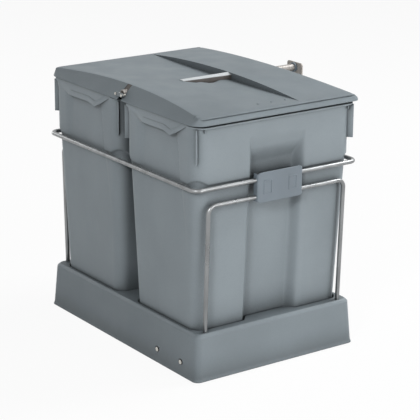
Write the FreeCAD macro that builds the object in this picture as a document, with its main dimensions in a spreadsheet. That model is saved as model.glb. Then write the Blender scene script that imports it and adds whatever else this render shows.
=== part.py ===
import FreeCAD, Part
import math
import os
import re
import Sketcher

# Pull-out waste unit for a kitchen cabinet: a tray on ball runners carries two
# bins inside a wire ring, and an arched lid stays above them on a bar that is
# fixed to the cabinet's side wall.
# X runs to the right, Y to the back and Z up.  The origin lies on the cabinet
# floor, in the middle of the four floor screws.  All sizes are in millimetres.

doc = FreeCAD.newDocument("PullOutWasteUnit")
sheet = doc.addObject("Spreadsheet::Sheet", "Dimensions")

SIZES = [
    # bins
    ("bin_width", 347.0, "rim of one bin, along X"),
    ("bin_depth", 230.0, "rim of one bin, along Y"),
    ("bin_height", 400.0, "bottom to rim top"),
    ("bin_wall", 2.5, "wall and bottom"),
    ("bin_corner", 29.0, "rim corner radius in plan"),
    ("bin_gap", 11.0, "between the two rims"),
    ("rim_thickness", 4.0, "rim flange"),
    ("rim_overhang", 4.0, "rim past the collar"),
    ("collar_height", 96.0, "straight collar under the rim"),
    ("collar_step", 2.5, "collar past the tapered body"),
    ("collar_step_rise", 4.0, "height of the step under the collar"),
    ("bin_side_taper", 10.2, "side wall comes in by this to the bottom"),
    ("bin_end_taper", 15.8, "front and back walls come in by this"),
    ("bin_bottom_corner", 20.0, "corner radius at the bottom"),
    ("channel_mouth", 110.0, "width of the front channel at the wall"),
    ("channel_floor", 82.0, "width of the front channel at its floor"),
    ("channel_depth", 17.0, "front channel"),
    ("channel_top_margin", 12.0, "rim top to the end of the channel's slope"),
    ("channel_slope_height", 35.0, "height of the channel's sloped end"),
    ("fin_reach", 6.0, "corner fin past the collar corner"),
    ("fin_thickness", 2.5, "corner fin"),
    ("fin_height", 60.0, "corner fin under the rim"),
    # tray
    ("overcut", 1.0, "cutting shapes past the faces that they cut"),
    ("floor_clearance", 1.5, "cabinet floor to the tray's skirt"),
    ("tray_floor", 49.0, "cabinet floor to the underside of the wells"),
    ("tray_height", 86.0, "cabinet floor to the ledge"),
    ("tray_wall", 3.0, "walls, ledge and well floors"),
    ("side_ledge", 11.3, "well edge to the tray's upper side edge"),
    ("end_ledge", 20.3, "well edge to the tray's upper front edge"),
    ("skirt_draft", 6.2, "skirt flares out by this to its lower edge"),
    ("tray_corner", 12.0, "plan radius of the skirt"),
    ("tray_bevel", 5.0, "sloped band round the ledge"),
    ("well_side_clearance", 1.0, "bin to well, along X"),
    ("well_end_clearance", 3.5, "bin to well, along Y"),
    ("well_corner", 22.0, "plan radius of the wells"),
    ("well_taper", 1.5, "well walls come in by this to the floor"),
    ("lip_clearance", 6.0, "lip of the well to the channel of the bin"),
    ("rail_pad_height", 14.0, "pad that the moving rail is screwed to"),
    ("rail_pad_width", 4.4, "pad that the moving rail is screwed to, along X"),
    ("rail_pad_margin", 10.0, "end of the moving rail to the end of its pad"),
    # runners
    ("rail_length", 450.0, "each runner member"),
    ("rail_height", 45.0, "moving member"),
    ("rail_level", 25.0, "cabinet floor to the middle of the runners"),
    ("rail_inset", 8.0, "skirt's lower edge to the moving rail's back"),
    ("rail_sheet", 1.2, "sheet of moving and middle members"),
    ("fixed_rail_sheet", 1.5, "sheet of the fixed member"),
    ("moving_rail_width", 11.5, "moving member, along X"),
    ("mid_rail_width", 8.0, "middle member, along X"),
    ("fixed_rail_width", 6.5, "fixed member, along X"),
    ("runner_width", 12.7, "complete runner, along X"),
    ("ball_radius", 2.0, "runner balls"),
    ("ball_clearance", 0.05, "ball to its raceways and cage hole"),
    ("ball_pitch", 25.0, "between balls along Y"),
    ("cage_sheet", 0.6, "ball cages"),
    ("cage_gap", 0.6, "cage to the members beside it"),
    ("cage_length", 200.0, "ball cages"),
    ("cage_rim", 1.0, "cage past its balls, along X"),
    ("ball_offset", 8.6, "moving rail's back to the ball centres"),
    ("rail_screw_front", 193.0, "front side screw in front of the middle"),
    ("rail_screw_back", 120.0, "rear side screw in front of the middle"),
    ("rail_screw_radius", 2.0, "side screw shank"),
    ("rail_screw_head", 4.0, "side screw head radius"),
    ("screw_head_height", 1.7, "side screw head"),
    ("screw_recess_radius", 5.5, "recess round a side screw"),
    ("screw_recess_depth", 2.0, "recess round a side screw"),
    ("screw_fit", 0.05, "radial clearance of a shank in its hole"),
    # base frame on the cabinet floor
    ("base_sheet", 2.5, "base angles"),
    ("base_flange", 40.0, "foot flange, along X"),
    ("floor_hole_x", 260.0, "floor screws, along X"),
    ("floor_hole_y", 360.0, "floor screws, along Y"),
    ("floor_hole_radius", 2.75, "floor screw holes"),
    ("tie_sheet", 2.0, "cross ties"),
    ("tie_depth", 30.0, "cross ties, along Y"),
    ("tie_spacing", 280.0, "between the cross ties, along Y"),
    ("rivet_radius", 2.0, "rivet shanks"),
    ("rivet_head_radius", 4.0, "rivet heads"),
    ("rivet_head_height", 1.2, "rivet heads"),
    ("tie_lap", 30.0, "rivet to the base angle's upright"),
    ("rail_rivet_spacing", 180.0, "between rivets of a fixed rail"),
    # wires
    ("wire_radius", 4.0, "ring and hoops"),
    ("ring_drop", 2.7, "top of the bins' tapered body to the ring"),
    ("ring_corner", 14.0, "ring centre-line radius"),
    ("ring_side_clearance", 3.6, "bin to ring, along X"),
    ("ring_end_clearance", 4.0, "bin to ring, along Y"),
    ("hoop_drop", 30.3, "ring to the top of a hoop"),
    ("hoop_span", 294.0, "between the legs of a hoop"),
    ("hoop_corner", 14.0, "hoop centre-line radius"),
    ("hoop_lean", 2.0, "degrees that a hoop leans out to its top"),
    ("leg_reach", 37.4, "ledge to the lower end of a hoop's leg"),
    ("boss_radius", 7.0, "boss round a hoop's leg"),
    ("boss_length", 29.0, "boss under the ledge"),
    ("nut_radius", 7.5, "corner radius of a hoop nut"),
    ("nut_height", 6.2, "hoop nut"),
    # door bracket and rear tie
    ("bracket_width", 98.0, "door bracket, along X"),
    ("bracket_height", 54.0, "door bracket"),
    ("bracket_rise", 1.85, "middle between the two wires to the bracket's middle"),
    ("bracket_sheet", 2.4, "door bracket"),
    ("bracket_flange", 12.0, "door bracket's side flanges, along Y"),
    ("bracket_corner", 6.0, "corner radius of the door bracket"),
    ("wire_seat", 0.3, "plates to the wires between them"),
    ("pad_width", 18.0, "embossed fields of the door bracket"),
    ("pad_height", 26.0, "embossed fields of the door bracket"),
    ("pad_spacing", 54.0, "between the embossed fields"),
    ("pad_depth", 0.4, "embossed fields"),
    ("clamp_width", 86.0, "clamp plates, along X"),
    ("clamp_height", 41.0, "clamp plates"),
    ("clamp_sheet", 1.6, "clamp plates"),
    ("clamp_screw_spacing", 54.0, "between the clamp screws"),
    ("clamp_screw_radius", 2.0, "clamp screws"),
    ("clamp_head_radius", 3.5, "clamp screw heads"),
    ("clamp_head_height", 1.8, "clamp screw heads"),
    ("clamp_screw_bite", 2.0, "depth of a screw in the plate it holds"),
    # lid and its bar
    ("lid_side_overhang", 1.5, "lid past the rims, along X"),
    ("lid_end_overhang", 3.5, "lid past the rims, along Y"),
    ("lid_corner", 24.0, "plan radius of the lid"),
    ("lid_wall", 2.5, "lid"),
    ("lid_lift_gap", 3.5, "rims to the lid's edge"),
    ("lid_crown", 26.0, "lid's edge to the top of the arch"),
    ("lid_arch_radius", 2145.0, "arch, seen from the side"),
    ("lid_band", 24.0, "width of the sloped side bands at the crown"),
    ("lid_step_x", 50.0, "middle to the crescent step"),
    ("lid_step_drop", 12.0, "height of the crescent step"),
    ("lid_cut_margin", 20.0, "shapes that cut the lid, past its crown"),
    ("lid_ruled_sink", 0.05, "start of the ruled top under the arch"),
    ("lid_rib_thickness", 3.0, "ribs inside the lid"),
    ("lid_rib_x", 146.0, "middle to the side ribs"),
    ("lid_rib_length", 424.0, "side ribs, along Y"),
    ("lid_rib_gap", 0.4, "rims to the side ribs"),
    ("bar_radius", 6.5, "lid bar"),
    ("bar_wall", 1.5, "lid bar tube"),
    ("bar_y", -3.0, "lid bar's axis"),
    ("bar_height", 11.5, "lid's edge to the lid bar's axis"),
    ("bar_left", 168.0, "middle to the lid bar's left end"),
    ("saddle_clearance", 0.3, "lid to its bar"),
    ("housing_left", 62.0, "middle to the left end of the bar's housing"),
    ("housing_front", 11.0, "bar's axis to the housing's front"),
    ("housing_flat", 12.0, "flat top of the housing, along Y"),
    ("housing_top", 22.5, "lid's edge to the top of the housing"),
    ("housing_back", 12.0, "bar's axis to the housing's back"),
    ("scoop_left", 30.0, "middle to the finger scoop's left edge"),
    ("scoop_right", 22.0, "middle to the finger scoop's right edge"),
    ("scoop_depth_y", 21.0, "finger scoop, along Y"),
    ("scoop_floor", 9.0, "lid's edge to the scoop's floor"),
    ("plate_reach", 43.0, "lid's edge to the wall plate's outer face"),
    ("plate_sheet", 2.5, "wall plate"),
    ("plate_width", 44.0, "wall plate, along Y"),
    ("plate_height", 60.0, "wall plate"),
    ("plate_corner", 5.0, "corner radius of the wall plate"),
    ("plate_rise", 9.5, "bar's axis to the plate's upper edge"),
    ("plate_hole_x", 28.0, "wall plate holes, along Y"),
    ("plate_hole_z", 22.0, "wall plate holes, along Z"),
    ("plate_hole_radius", 2.5, "wall plate holes"),
    ("plate_hole_drop", 32.0, "bar's axis to the middle of the holes"),
    ("flange_radius", 9.0, "ring at the bar's end"),
    ("flange_width", 4.0, "ring at the bar's end"),
    ("clip_length", 25.0, "lid clip, along Y"),
    ("clip_height", 7.0, "lid clip"),
    ("clip_sheet", 2.0, "lid clip"),
    ("clip_rise", 10.5, "lid's edge to the middle of the clip"),
    ("clip_screw_radius", 1.5, "lid clip screws"),
    ("clip_head_radius", 2.5, "lid clip screw heads"),
    ("clip_head_height", 1.5, "lid clip screw heads"),
    ("clip_screw_spacing", 19.0, "between the lid clip screws"),
    ("clip_pad_width", 5.5, "pads behind the lid clip, along Y"),
]

ALIASES = set()
for row, (alias, value, meaning) in enumerate(SIZES, start=1):
    sheet.set("A%d" % row, meaning)
    sheet.set("B%d" % row, str(value))
    sheet.setAlias("B%d" % row, alias)
    ALIASES.add(alias)
doc.recompute()

# Levels and planes that several pieces share, worked out from the sizes.
RIM_TOP = "(tray_floor + tray_wall + bin_height)"
BIN_BOTTOM = "(tray_floor + tray_wall)"
COLLAR_TOP = "(%s - rim_thickness)" % RIM_TOP
COLLAR_BOTTOM = "(%s - collar_height)" % COLLAR_TOP
BODY_TOP = "(%s - collar_step_rise)" % COLLAR_BOTTOM
BIN_PITCH = "(bin_depth + bin_gap)"
COLLAR_X = "(bin_width / 2 - rim_overhang)"
COLLAR_Y = "(bin_depth / 2 - rim_overhang)"
BODY_X = "(%s - collar_step)" % COLLAR_X
BODY_Y = "(%s - collar_step)" % COLLAR_Y
BOTTOM_X = "(%s - bin_side_taper)" % BODY_X
BOTTOM_Y = "(%s - bin_end_taper)" % BODY_Y
COLLAR_RADIUS = "(bin_corner - rim_overhang)"

# Share of the body's height that lies under the ledge, and the bin there.
LEDGE_SHARE = "((tray_height - %s) / (%s - %s))" % (BIN_BOTTOM, BODY_TOP, BIN_BOTTOM)
WELL_X = "(%s + bin_side_taper * %s + well_side_clearance)" % (BOTTOM_X, LEDGE_SHARE)
WELL_Y = "(%s + bin_end_taper * %s + well_end_clearance)" % (BOTTOM_Y, LEDGE_SHARE)
TRAY_TOP_X = "(%s + side_ledge)" % WELL_X
TRAY_TOP_Y = "(%s / 2 + %s + end_ledge)" % (BIN_PITCH, WELL_Y)
SKIRT_X = "(%s + skirt_draft)" % TRAY_TOP_X
SKIRT_Y = "(%s + skirt_draft)" % TRAY_TOP_Y

RAIL_X = "(%s - rail_inset)" % SKIRT_X
WEB_X = "(%s - runner_width)" % RAIL_X
BASE_INNER_X = "(%s - base_sheet)" % WEB_X

RING_X = "(%s + ring_side_clearance + wire_radius)" % BODY_X
RING_Y = "(%s / 2 + %s + ring_end_clearance + wire_radius)" % (BIN_PITCH, BODY_Y)
RING_LEVEL = "(%s - ring_drop)" % BODY_TOP
HOOP_LEVEL = "(%s - hoop_drop)" % RING_LEVEL
HOOP_LENGTH = "((%s - tray_height + leg_reach) / cos(hoop_lean))" % HOOP_LEVEL
CLAMP_Z = "((%s + %s) / 2)" % (RING_LEVEL, HOOP_LEVEL)
BRACKET_LEVEL = "(%s + bracket_rise)" % CLAMP_Z

LID_EDGE = "(%s + lid_lift_gap)" % RIM_TOP
LID_X = "(bin_width / 2 + lid_side_overhang)"
LID_Y = "((%s + bin_depth) / 2 + lid_end_overhang)" % BIN_PITCH
LID_CROWN = "(%s + lid_crown)" % LID_EDGE
STEP_Z = "(%s - lid_step_drop)" % LID_CROWN
BAR_Z = "(%s + bar_height)" % LID_EDGE
PLATE_X = "(%s + plate_reach)" % LID_X

# Shapes that cut the lid reach past it by a fifth of its half sizes.
LID_CUT_X = "(1.2 * %s)" % LID_X
LID_CUT_Y = "(1.2 * %s)" % LID_Y


def full(expression):
    """Write an expression with the sheet's name before each size."""
    def name(match):
        word = match.group(0)
        return "Dimensions." + word if word in ALIASES else word
    return re.sub(r"[a-z][a-z_0-9]*", name, str(expression))


def number(expression):
    """Value of an expression in millimetres or degrees."""
    return float(sheet.evalExpression(str(expression)))


def bind(thing, **properties):
    """Bind properties to expressions; a double underscore stands for a dot."""
    for key, expression in properties.items():
        thing.setExpression(key.replace("__", "."), full(expression))


def place(thing, x="0", y="0", z="0"):
    bind(thing, Placement__Base__x=x, Placement__Base__y=y, Placement__Base__z=z)


def turn(thing, axis, angle):
    """Turn a thing about an axis through its own origin."""
    thing.Placement.Rotation = FreeCAD.Rotation(FreeCAD.Vector(*axis), number(angle))
    thing.setExpression("Placement.Rotation.Angle", full(angle))


# Sketches ---------------------------------------------------------------

def sketch_on(body, plane, offset="0"):
    """Sketch on an origin plane of the body, moved along the plane's normal."""
    sketch = body.newObject("Sketcher::SketchObject", body.Name + "_sketch")
    origin_plane = [f for f in body.Origin.OriginFeatures if f.Role == plane + "_Plane"][0]
    sketch.AttachmentSupport = (origin_plane, [""])
    sketch.MapMode = "FlatFace"
    bind(sketch, AttachmentOffset__Base__z=offset)
    return sketch


def pin_point(sketch, geometry, point, x, y):
    """Fix one point of the sketch to a bound place."""
    for kind, expression in (("DistanceX", x), ("DistanceY", y)):
        index = sketch.addConstraint(
            Sketcher.Constraint(kind, -1, 1, geometry, point, number(expression)))
        sketch.setExpression("Constraints[%d]" % index, full(expression))


def polygon(sketch, corners):
    """Closed outline of straight lines through bound corners."""
    vectors = [FreeCAD.Vector(number(x), number(y), 0) for x, y in corners]
    for i, start in enumerate(vectors):
        end = vectors[(i + 1) % len(vectors)]
        line = sketch.addGeometry(Part.LineSegment(start, end))
        pin_point(sketch, line, 1, *corners[i])
        pin_point(sketch, line, 2, *corners[(i + 1) % len(corners)])


def rectangle(sketch, left, bottom, right, top):
    polygon(sketch, [(left, bottom), (right, bottom), (right, top), (left, top)])


def circle(sketch, x, y, radius):
    centre = FreeCAD.Vector(number(x), number(y), 0)
    index = sketch.addGeometry(
        Part.Circle(centre, FreeCAD.Vector(0, 0, 1), number(radius)))
    pin_point(sketch, index, 3, x, y)
    size = sketch.addConstraint(Sketcher.Constraint("Radius", index, number(radius)))
    sketch.setExpression("Constraints[%d]" % size, full(radius))


def rounded_rectangle(sketch, half_x, half_y, radius, middle_x="0", middle_y="0"):
    """Rectangle with four equal round corners, drawn anticlockwise."""
    centre_x = "(%s - (%s))" % (half_x, radius)
    centre_y = "(%s - (%s))" % (half_y, radius)
    signs = [("", ""), ("-", ""), ("-", "-"), ("", "-")]
    arcs = []
    centres = []
    for quarter, (sign_x, sign_y) in enumerate(signs):
        x = "%s + %s1 * %s" % (middle_x, sign_x, centre_x)
        y = "%s + %s1 * %s" % (middle_y, sign_y, centre_y)
        centres.append((x, y))
        whole = Part.Circle(
            FreeCAD.Vector(number(x), number(y), 0), FreeCAD.Vector(0, 0, 1), number(radius))
        start = quarter * math.pi / 2
        arcs.append(sketch.addGeometry(Part.ArcOfCircle(whole, start, start + math.pi / 2)))
    lines = []
    for i in range(4):
        here = sketch.Geometry[arcs[i]].EndPoint
        there = sketch.Geometry[arcs[(i + 1) % 4]].StartPoint
        lines.append(sketch.addGeometry(Part.LineSegment(here, there)))
    for i in range(4):
        sketch.addConstraint(Sketcher.Constraint("Tangent", arcs[i], 2, lines[i], 1))
        sketch.addConstraint(Sketcher.Constraint("Tangent", lines[i], 2, arcs[(i + 1) % 4], 1))
    for i in range(1, 4):
        sketch.addConstraint(Sketcher.Constraint("Equal", arcs[0], arcs[i]))
    size = sketch.addConstraint(Sketcher.Constraint("Radius", arcs[0], number(radius)))
    sketch.setExpression("Constraints[%d]" % size, full(radius))
    for arc, (x, y) in zip(arcs, centres):
        pin_point(sketch, arc, 3, x, y)


# Features ---------------------------------------------------------------

def new_body(name):
    body = doc.addObject("PartDesign::Body", name)
    body.Label = name
    return body


def swell(body, kind, sketch, length, reverse=False, symmetric=False):
    """Pad or pocket of a bound length; an empty length goes through all."""
    feature = body.newObject("PartDesign::" + kind, body.Name + "_" + kind.lower())
    feature.Profile = sketch
    if symmetric:
        feature.SideType = "Symmetric"
    if length:
        bind(feature, Length=length)
    else:
        feature.Type = "ThroughAll"
    feature.Reversed = reverse
    return feature


def pad(body, sketch, length, reverse=False, symmetric=False):
    return swell(body, "Pad", sketch, length, reverse, symmetric)


def pocket(body, sketch, length="", reverse=False, symmetric=False):
    return swell(body, "Pocket", sketch, length, reverse, symmetric)


def loft(body, kind, sections):
    """Ruled loft through sketches that lie above one another."""
    feature = body.newObject("PartDesign::" + kind, body.Name + "_loft")
    feature.Profile = sections[0]
    feature.Sections = sections[1:]
    feature.Ruled = True
    return feature


def plan_loft(body, kind, levels):
    """Loft of rounded rectangles: (z, half_x, half_y, radius, middle_y) each."""
    sections = []
    for z, half_x, half_y, radius, middle_y in levels:
        section = sketch_on(body, "XY", z)
        rounded_rectangle(section, half_x, half_y, radius, "0", middle_y)
        sections.append(section)
    return loft(body, kind, sections)


def block(body, kind, x, y, z, length, width, height):
    """Box from one corner, added to or taken from the body."""
    box = body.newObject("PartDesign::" + kind, body.Name + "_box")
    bind(box, Length=length, Width=width, Height=height)
    place(box, x, y, z)
    return box


def rod(name, axis, x, y, z, radius, length):
    """Round rod that starts at a point and runs along X, Y or Z."""
    thing = doc.addObject("Part::Cylinder", name)
    bind(thing, Radius=radius, Height=length)
    if axis == "X":
        turn(thing, (0, 1, 0), "90")
    if axis == "-X":
        turn(thing, (0, 1, 0), "-90")
    if axis == "Y":
        turn(thing, (1, 0, 0), "-90")
    if axis == "-Y":
        turn(thing, (1, 0, 0), "90")
    if axis == "-Z":
        turn(thing, (1, 0, 0), "180")
    place(thing, x, y, z)
    return thing


def headed(name, axis, x, y, z, radius, length, head_radius, head_height):
    """Screw or rivet: the point is under its head, the shank runs along the axis."""
    opposite = axis[1:] if axis.startswith("-") else "-" + axis
    shank = rod(name + "_shank", axis, x, y, z, radius, length)
    head = rod(name + "_head", opposite, x, y, z, head_radius, head_height)
    whole = doc.addObject("Part::Fuse", name + "_whole")
    whole.Base = shank
    whole.Tool = head
    return whole


def group(name, things):
    """Several equal pieces kept together as separate solids."""
    compound = doc.addObject("Part::Compound", name)
    compound.Label = name
    compound.Links = things
    return compound


# Bins -------------------------------------------------------------------

def channel_section(body, z, front, mouth, floor, start, depth):
    """Trapezium of the front channel; start is in front of the wall's face."""
    section = sketch_on(body, "XY", z)
    flare = "((%s - (%s)) / 2 / channel_depth)" % (mouth, floor)
    outer = "((%s) / 2 + (%s) * (%s))" % (mouth, start, flare)
    inner = "((%s) / 2 - (%s) * (%s))" % (mouth, depth, flare)
    near = "-1 * (%s) - (%s)" % (front, start)
    far = "-1 * (%s) + (%s)" % (front, depth)
    corners = [("-1 * " + outer, near), (outer, near), (inner, far), ("-1 * " + inner, far)]
    polygon(section, corners)
    return section


def make_bin(name, middle_y):
    body = new_body(name)
    outline = [
        (BIN_BOTTOM, BOTTOM_X, BOTTOM_Y, "bin_bottom_corner", "0"),
        (BODY_TOP, BODY_X, BODY_Y, COLLAR_RADIUS, "0"),
        (COLLAR_BOTTOM, COLLAR_X, COLLAR_Y, COLLAR_RADIUS, "0"),
        (COLLAR_TOP, COLLAR_X, COLLAR_Y, COLLAR_RADIUS, "0"),
    ]
    plan_loft(body, "AdditiveLoft", outline)
    rim = sketch_on(body, "XY", COLLAR_TOP)
    rounded_rectangle(rim, "bin_width / 2", "bin_depth / 2", "bin_corner")
    pad(body, rim, "rim_thickness")

    hollow = []
    for z, half_x, half_y, radius, middle in outline:
        hollow.append((z, half_x + " - bin_wall", half_y + " - bin_wall",
                       radius + " - bin_wall", middle))
    hollow[0] = (BIN_BOTTOM + " + bin_wall",) + hollow[0][1:]
    hollow[3] = (RIM_TOP + " + overcut",) + hollow[3][1:]
    plan_loft(body, "SubtractiveLoft", hollow)

    channel_top = "(%s - channel_top_margin)" % RIM_TOP
    slope_foot = "(%s - channel_slope_height)" % channel_top
    shell_levels = [
        (BIN_BOTTOM, BOTTOM_Y, "channel_depth"),
        (BODY_TOP, BODY_Y, "channel_depth"),
        (COLLAR_BOTTOM, COLLAR_Y, "channel_depth"),
        (slope_foot, COLLAR_Y, "channel_depth"),
        (channel_top, COLLAR_Y, "0"),
    ]
    skin = []
    cut = []
    for level, (z, front, depth) in enumerate(shell_levels):
        skin.append(channel_section(body, z, front, "channel_mouth + 2 * bin_wall",
                                    "channel_floor + 2 * bin_wall", "-0.5 * bin_wall",
                                    depth + " + 0.9 * bin_wall"))
        low = " - overcut" if level == 0 else ""
        cut.append((z + low, front, depth))
    loft(body, "AdditiveLoft", skin)
    sections = []
    for z, front, depth in cut:
        sections.append(channel_section(body, z, front, "channel_mouth", "channel_floor",
                                        "2 * bin_wall", depth))
    loft(body, "SubtractiveLoft", sections)

    centre_x = "(%s - %s)" % (COLLAR_X, COLLAR_RADIUS)
    centre_y = "(%s - %s)" % (COLLAR_Y, COLLAR_RADIUS)
    for sign_x, sign_y, angle in ((1, 1, 45), (-1, 1, 135), (-1, -1, 225), (1, -1, 315)):
        fin = body.newObject("PartDesign::AdditiveBox", body.Name + "_fin")
        bind(fin, Length="fin_reach + bin_wall / 2", Width="fin_thickness", Height="fin_height")
        turn(fin, (0, 0, 1), "%d" % angle)
        start = "(%s - bin_wall / 2)" % COLLAR_RADIUS
        along_x = "cos(%d) * %s + sin(%d) * fin_thickness / 2" % (angle, start, angle)
        along_y = "sin(%d) * %s - cos(%d) * fin_thickness / 2" % (angle, start, angle)
        place(fin, "%d * %s + %s" % (sign_x, centre_x, along_x),
              "%d * %s + %s" % (sign_y, centre_y, along_y), COLLAR_TOP + " - fin_height")
    place(body, "0", middle_y, "0")
    return body


# Tray -------------------------------------------------------------------

def hoop_foot(level):
    """Distance in Y from the middle to a hoop's leg at a level."""
    return "(%s - (%s - (%s)) * tan(hoop_lean))" % (RING_Y, HOOP_LEVEL, level)


def make_tray():
    body = new_body("tray")
    bevel_foot = "(tray_height - tray_bevel)"
    top_x = "(%s - tray_bevel)" % TRAY_TOP_X
    top_y = "(%s - tray_bevel)" % TRAY_TOP_Y
    plan_loft(body, "AdditiveLoft", [
        ("floor_clearance", SKIRT_X, SKIRT_Y, "tray_corner", "0"),
        (bevel_foot, TRAY_TOP_X, TRAY_TOP_Y, "tray_corner", "0"),
        ("tray_height", top_x, top_y, "tray_corner - tray_bevel / 2", "0"),
    ])
    plan_loft(body, "SubtractiveLoft", [
        ("floor_clearance", SKIRT_X + " - tray_wall", SKIRT_Y + " - tray_wall",
         "tray_corner - tray_wall", "0"),
        (bevel_foot + " - overcut", TRAY_TOP_X + " - tray_wall", TRAY_TOP_Y + " - tray_wall",
         "tray_corner - tray_wall", "0"),
        ("tray_height - tray_wall", top_x + " - tray_wall / 2", top_y + " - tray_wall / 2",
         "tray_corner - tray_wall", "0"),
    ])
    # The two wells stand in one block that hangs from the ledge.
    block_y = "(%s / 2 + %s + tray_wall)" % (BIN_PITCH, WELL_Y)
    plan_loft(body, "AdditiveLoft", [
        ("tray_floor", WELL_X + " + tray_wall - well_taper", block_y + " - well_taper",
         "well_corner + tray_wall", "0"),
        ("tray_height", WELL_X + " + tray_wall", block_y, "well_corner + tray_wall", "0"),
    ])
    for side in ("-1", "1"):
        middle = "%s * %s / 2" % (side, BIN_PITCH)
        plan_loft(body, "SubtractiveLoft", [
            (BIN_BOTTOM, WELL_X + " - well_taper", WELL_Y + " - well_taper",
             "well_corner - well_taper", middle),
            ("tray_height", WELL_X, WELL_Y, "well_corner", middle),
        ])
        lip = sketch_on(body, "XY", BIN_BOTTOM)
        root = "%s - (%s) - tray_wall / 2" % (middle, WELL_Y)
        tip = "%s - (%s) + channel_depth - lip_clearance" % (middle, WELL_Y)
        flare = "((channel_mouth - channel_floor) / 2)"
        wide = "(channel_mouth / 2 - lip_clearance)"
        narrow = "(%s - %s * (channel_depth - lip_clearance) / channel_depth)" % (wide, flare)
        polygon(lip, [("-1 * " + wide, root), (wide, root), (narrow, tip), ("-1 * " + narrow, tip)])
        pad(body, lip, "tray_height - tray_floor - tray_wall")
    # The bridge between the wells is hollow from below.
    bridge = "(%s / 2 - %s - tray_wall)" % (BIN_PITCH, WELL_Y)
    hollow = sketch_on(body, "XY", "tray_floor - overcut")
    rectangle(hollow, "-1 * %s + well_corner" % WELL_X, "-1 * " + bridge,
              "%s - well_corner" % WELL_X, bridge)
    pocket(body, hollow, "tray_height - tray_floor - tray_wall + overcut", reverse=True)
    # The back of the skirt is open below, where it passes over the runners.
    deep = "(skirt_draft + 3 * tray_wall)"
    back = sketch_on(body, "XZ", "-1 * %s + %s" % (SKIRT_Y, deep))
    rectangle(back, "-1 * %s" % RAIL_X, "0", RAIL_X, "tray_floor + overcut")
    pocket(body, back, deep + " + overcut", reverse=False)
    for side in (-1, 1):
        inner = "%d * %s" % (side, RAIL_X)
        left = inner if side > 0 else inner + " - rail_pad_width"
        block(body, "AdditiveBox", left, "rail_pad_margin - rail_length / 2",
              "rail_level - rail_pad_height / 2", "rail_pad_width",
              "rail_length - 2 * rail_pad_margin", "rail_pad_height")
    holes = sketch_on(body, "YZ")
    for y in ("rail_screw_front", "rail_screw_back"):
        circle(holes, "-1 * " + y, "rail_level", "rail_screw_radius + screw_fit")
    pocket(body, holes, symmetric=True)
    for side, reverse in ((1, True), (-1, False)):
        seat = "%d * (%s)" % (side, SCREW_SEAT_X)
        recess = sketch_on(body, "YZ", seat)
        for y in ("rail_screw_front", "rail_screw_back"):
            circle(recess, "-1 * " + y, "rail_level", "screw_recess_radius")
        pocket(body, recess, "rail_inset", reverse=reverse)
    # Bosses take the feet of the two hoops.
    for side_y in (-1, 1):
        for side_x in (-1, 1):
            for kind, radius, top, length in (
                    ("AdditiveCylinder", "boss_radius", "tray_height - tray_wall / 2",
                     "boss_length"),
                    ("SubtractiveCylinder", "wire_radius + screw_fit", "tray_height + 5 * overcut",
                     "boss_length + 20 * overcut")):
                leg = body.newObject("PartDesign::" + kind, body.Name + "_leg")
                bind(leg, Radius=radius, Height=length)
                turn(leg, (1, 0, 0), "180 + %d * hoop_lean" % -side_y)
                place(leg, "%d * hoop_span / 2" % side_x,
                      "%d * %s" % (side_y, hoop_foot(top)), top)
    return body


SKIRT_SLOPE = "(skirt_draft / (tray_height - tray_bevel - floor_clearance))"
SKIRT_AT_RAIL = "(%s - (rail_level - floor_clearance) * %s)" % (SKIRT_X, SKIRT_SLOPE)
SCREW_SEAT_X = "(%s - screw_recess_depth)" % SKIRT_AT_RAIL


# Runners ----------------------------------------------------------------

def channel_bar(name, side, back, sheet_size, height, width, inward, holes):
    """Runner member: a channel along Y, its web at back, its flanges inward or outward."""
    body = new_body(name)
    direction = -side if inward else side
    near = "%d * %s" % (side, back)
    far = "%s + %d * (%s)" % (near, direction, width)
    web = "%s + %d * (%s)" % (near, direction, sheet_size)
    low = "rail_level - (%s)" % height
    high = "rail_level + (%s)" % height
    section = sketch_on(body, "XZ")
    polygon(section, [
        (near, low), (far, low), (far, "%s + %s" % (low, sheet_size)),
        (web, "%s + %s" % (low, sheet_size)), (web, "%s - (%s)" % (high, sheet_size)),
        (far, "%s - (%s)" % (high, sheet_size)), (far, high), (near, high)])
    pad(body, section, "rail_length", symmetric=True)
    if holes:
        drill = sketch_on(body, "YZ")
        for y, radius in holes:
            circle(drill, y, "rail_level", radius)
        pocket(body, drill, symmetric=True)
    return body


# Half heights, from the moving member inwards.
OUTER_BALL_Z = "(rail_height / 2 - rail_sheet - ball_clearance - ball_radius)"
MID_HALF = "(%s - ball_radius - ball_clearance)" % OUTER_BALL_Z
INNER_BALL_Z = "(%s - rail_sheet - ball_clearance - ball_radius)" % MID_HALF
FIXED_HALF = "(%s - ball_radius - ball_clearance)" % INNER_BALL_Z
OUTER_CAGE_X = "(%s - rail_sheet - cage_gap)" % RAIL_X
MID_RAIL_X = "(%s - cage_sheet - cage_gap)" % OUTER_CAGE_X
INNER_CAGE_X = "(%s - rail_sheet - cage_gap)" % MID_RAIL_X
BALL_X = "(%s - ball_offset)" % RAIL_X
FIXED_RAIL_X = WEB_X
BALLS_PER_ROW = 8


def ball_rows():
    """Places of the balls of one row along Y."""
    middle = (BALLS_PER_ROW - 1) / 2.0
    return ["%s * ball_pitch" % (i - middle) for i in range(BALLS_PER_ROW)]


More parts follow.
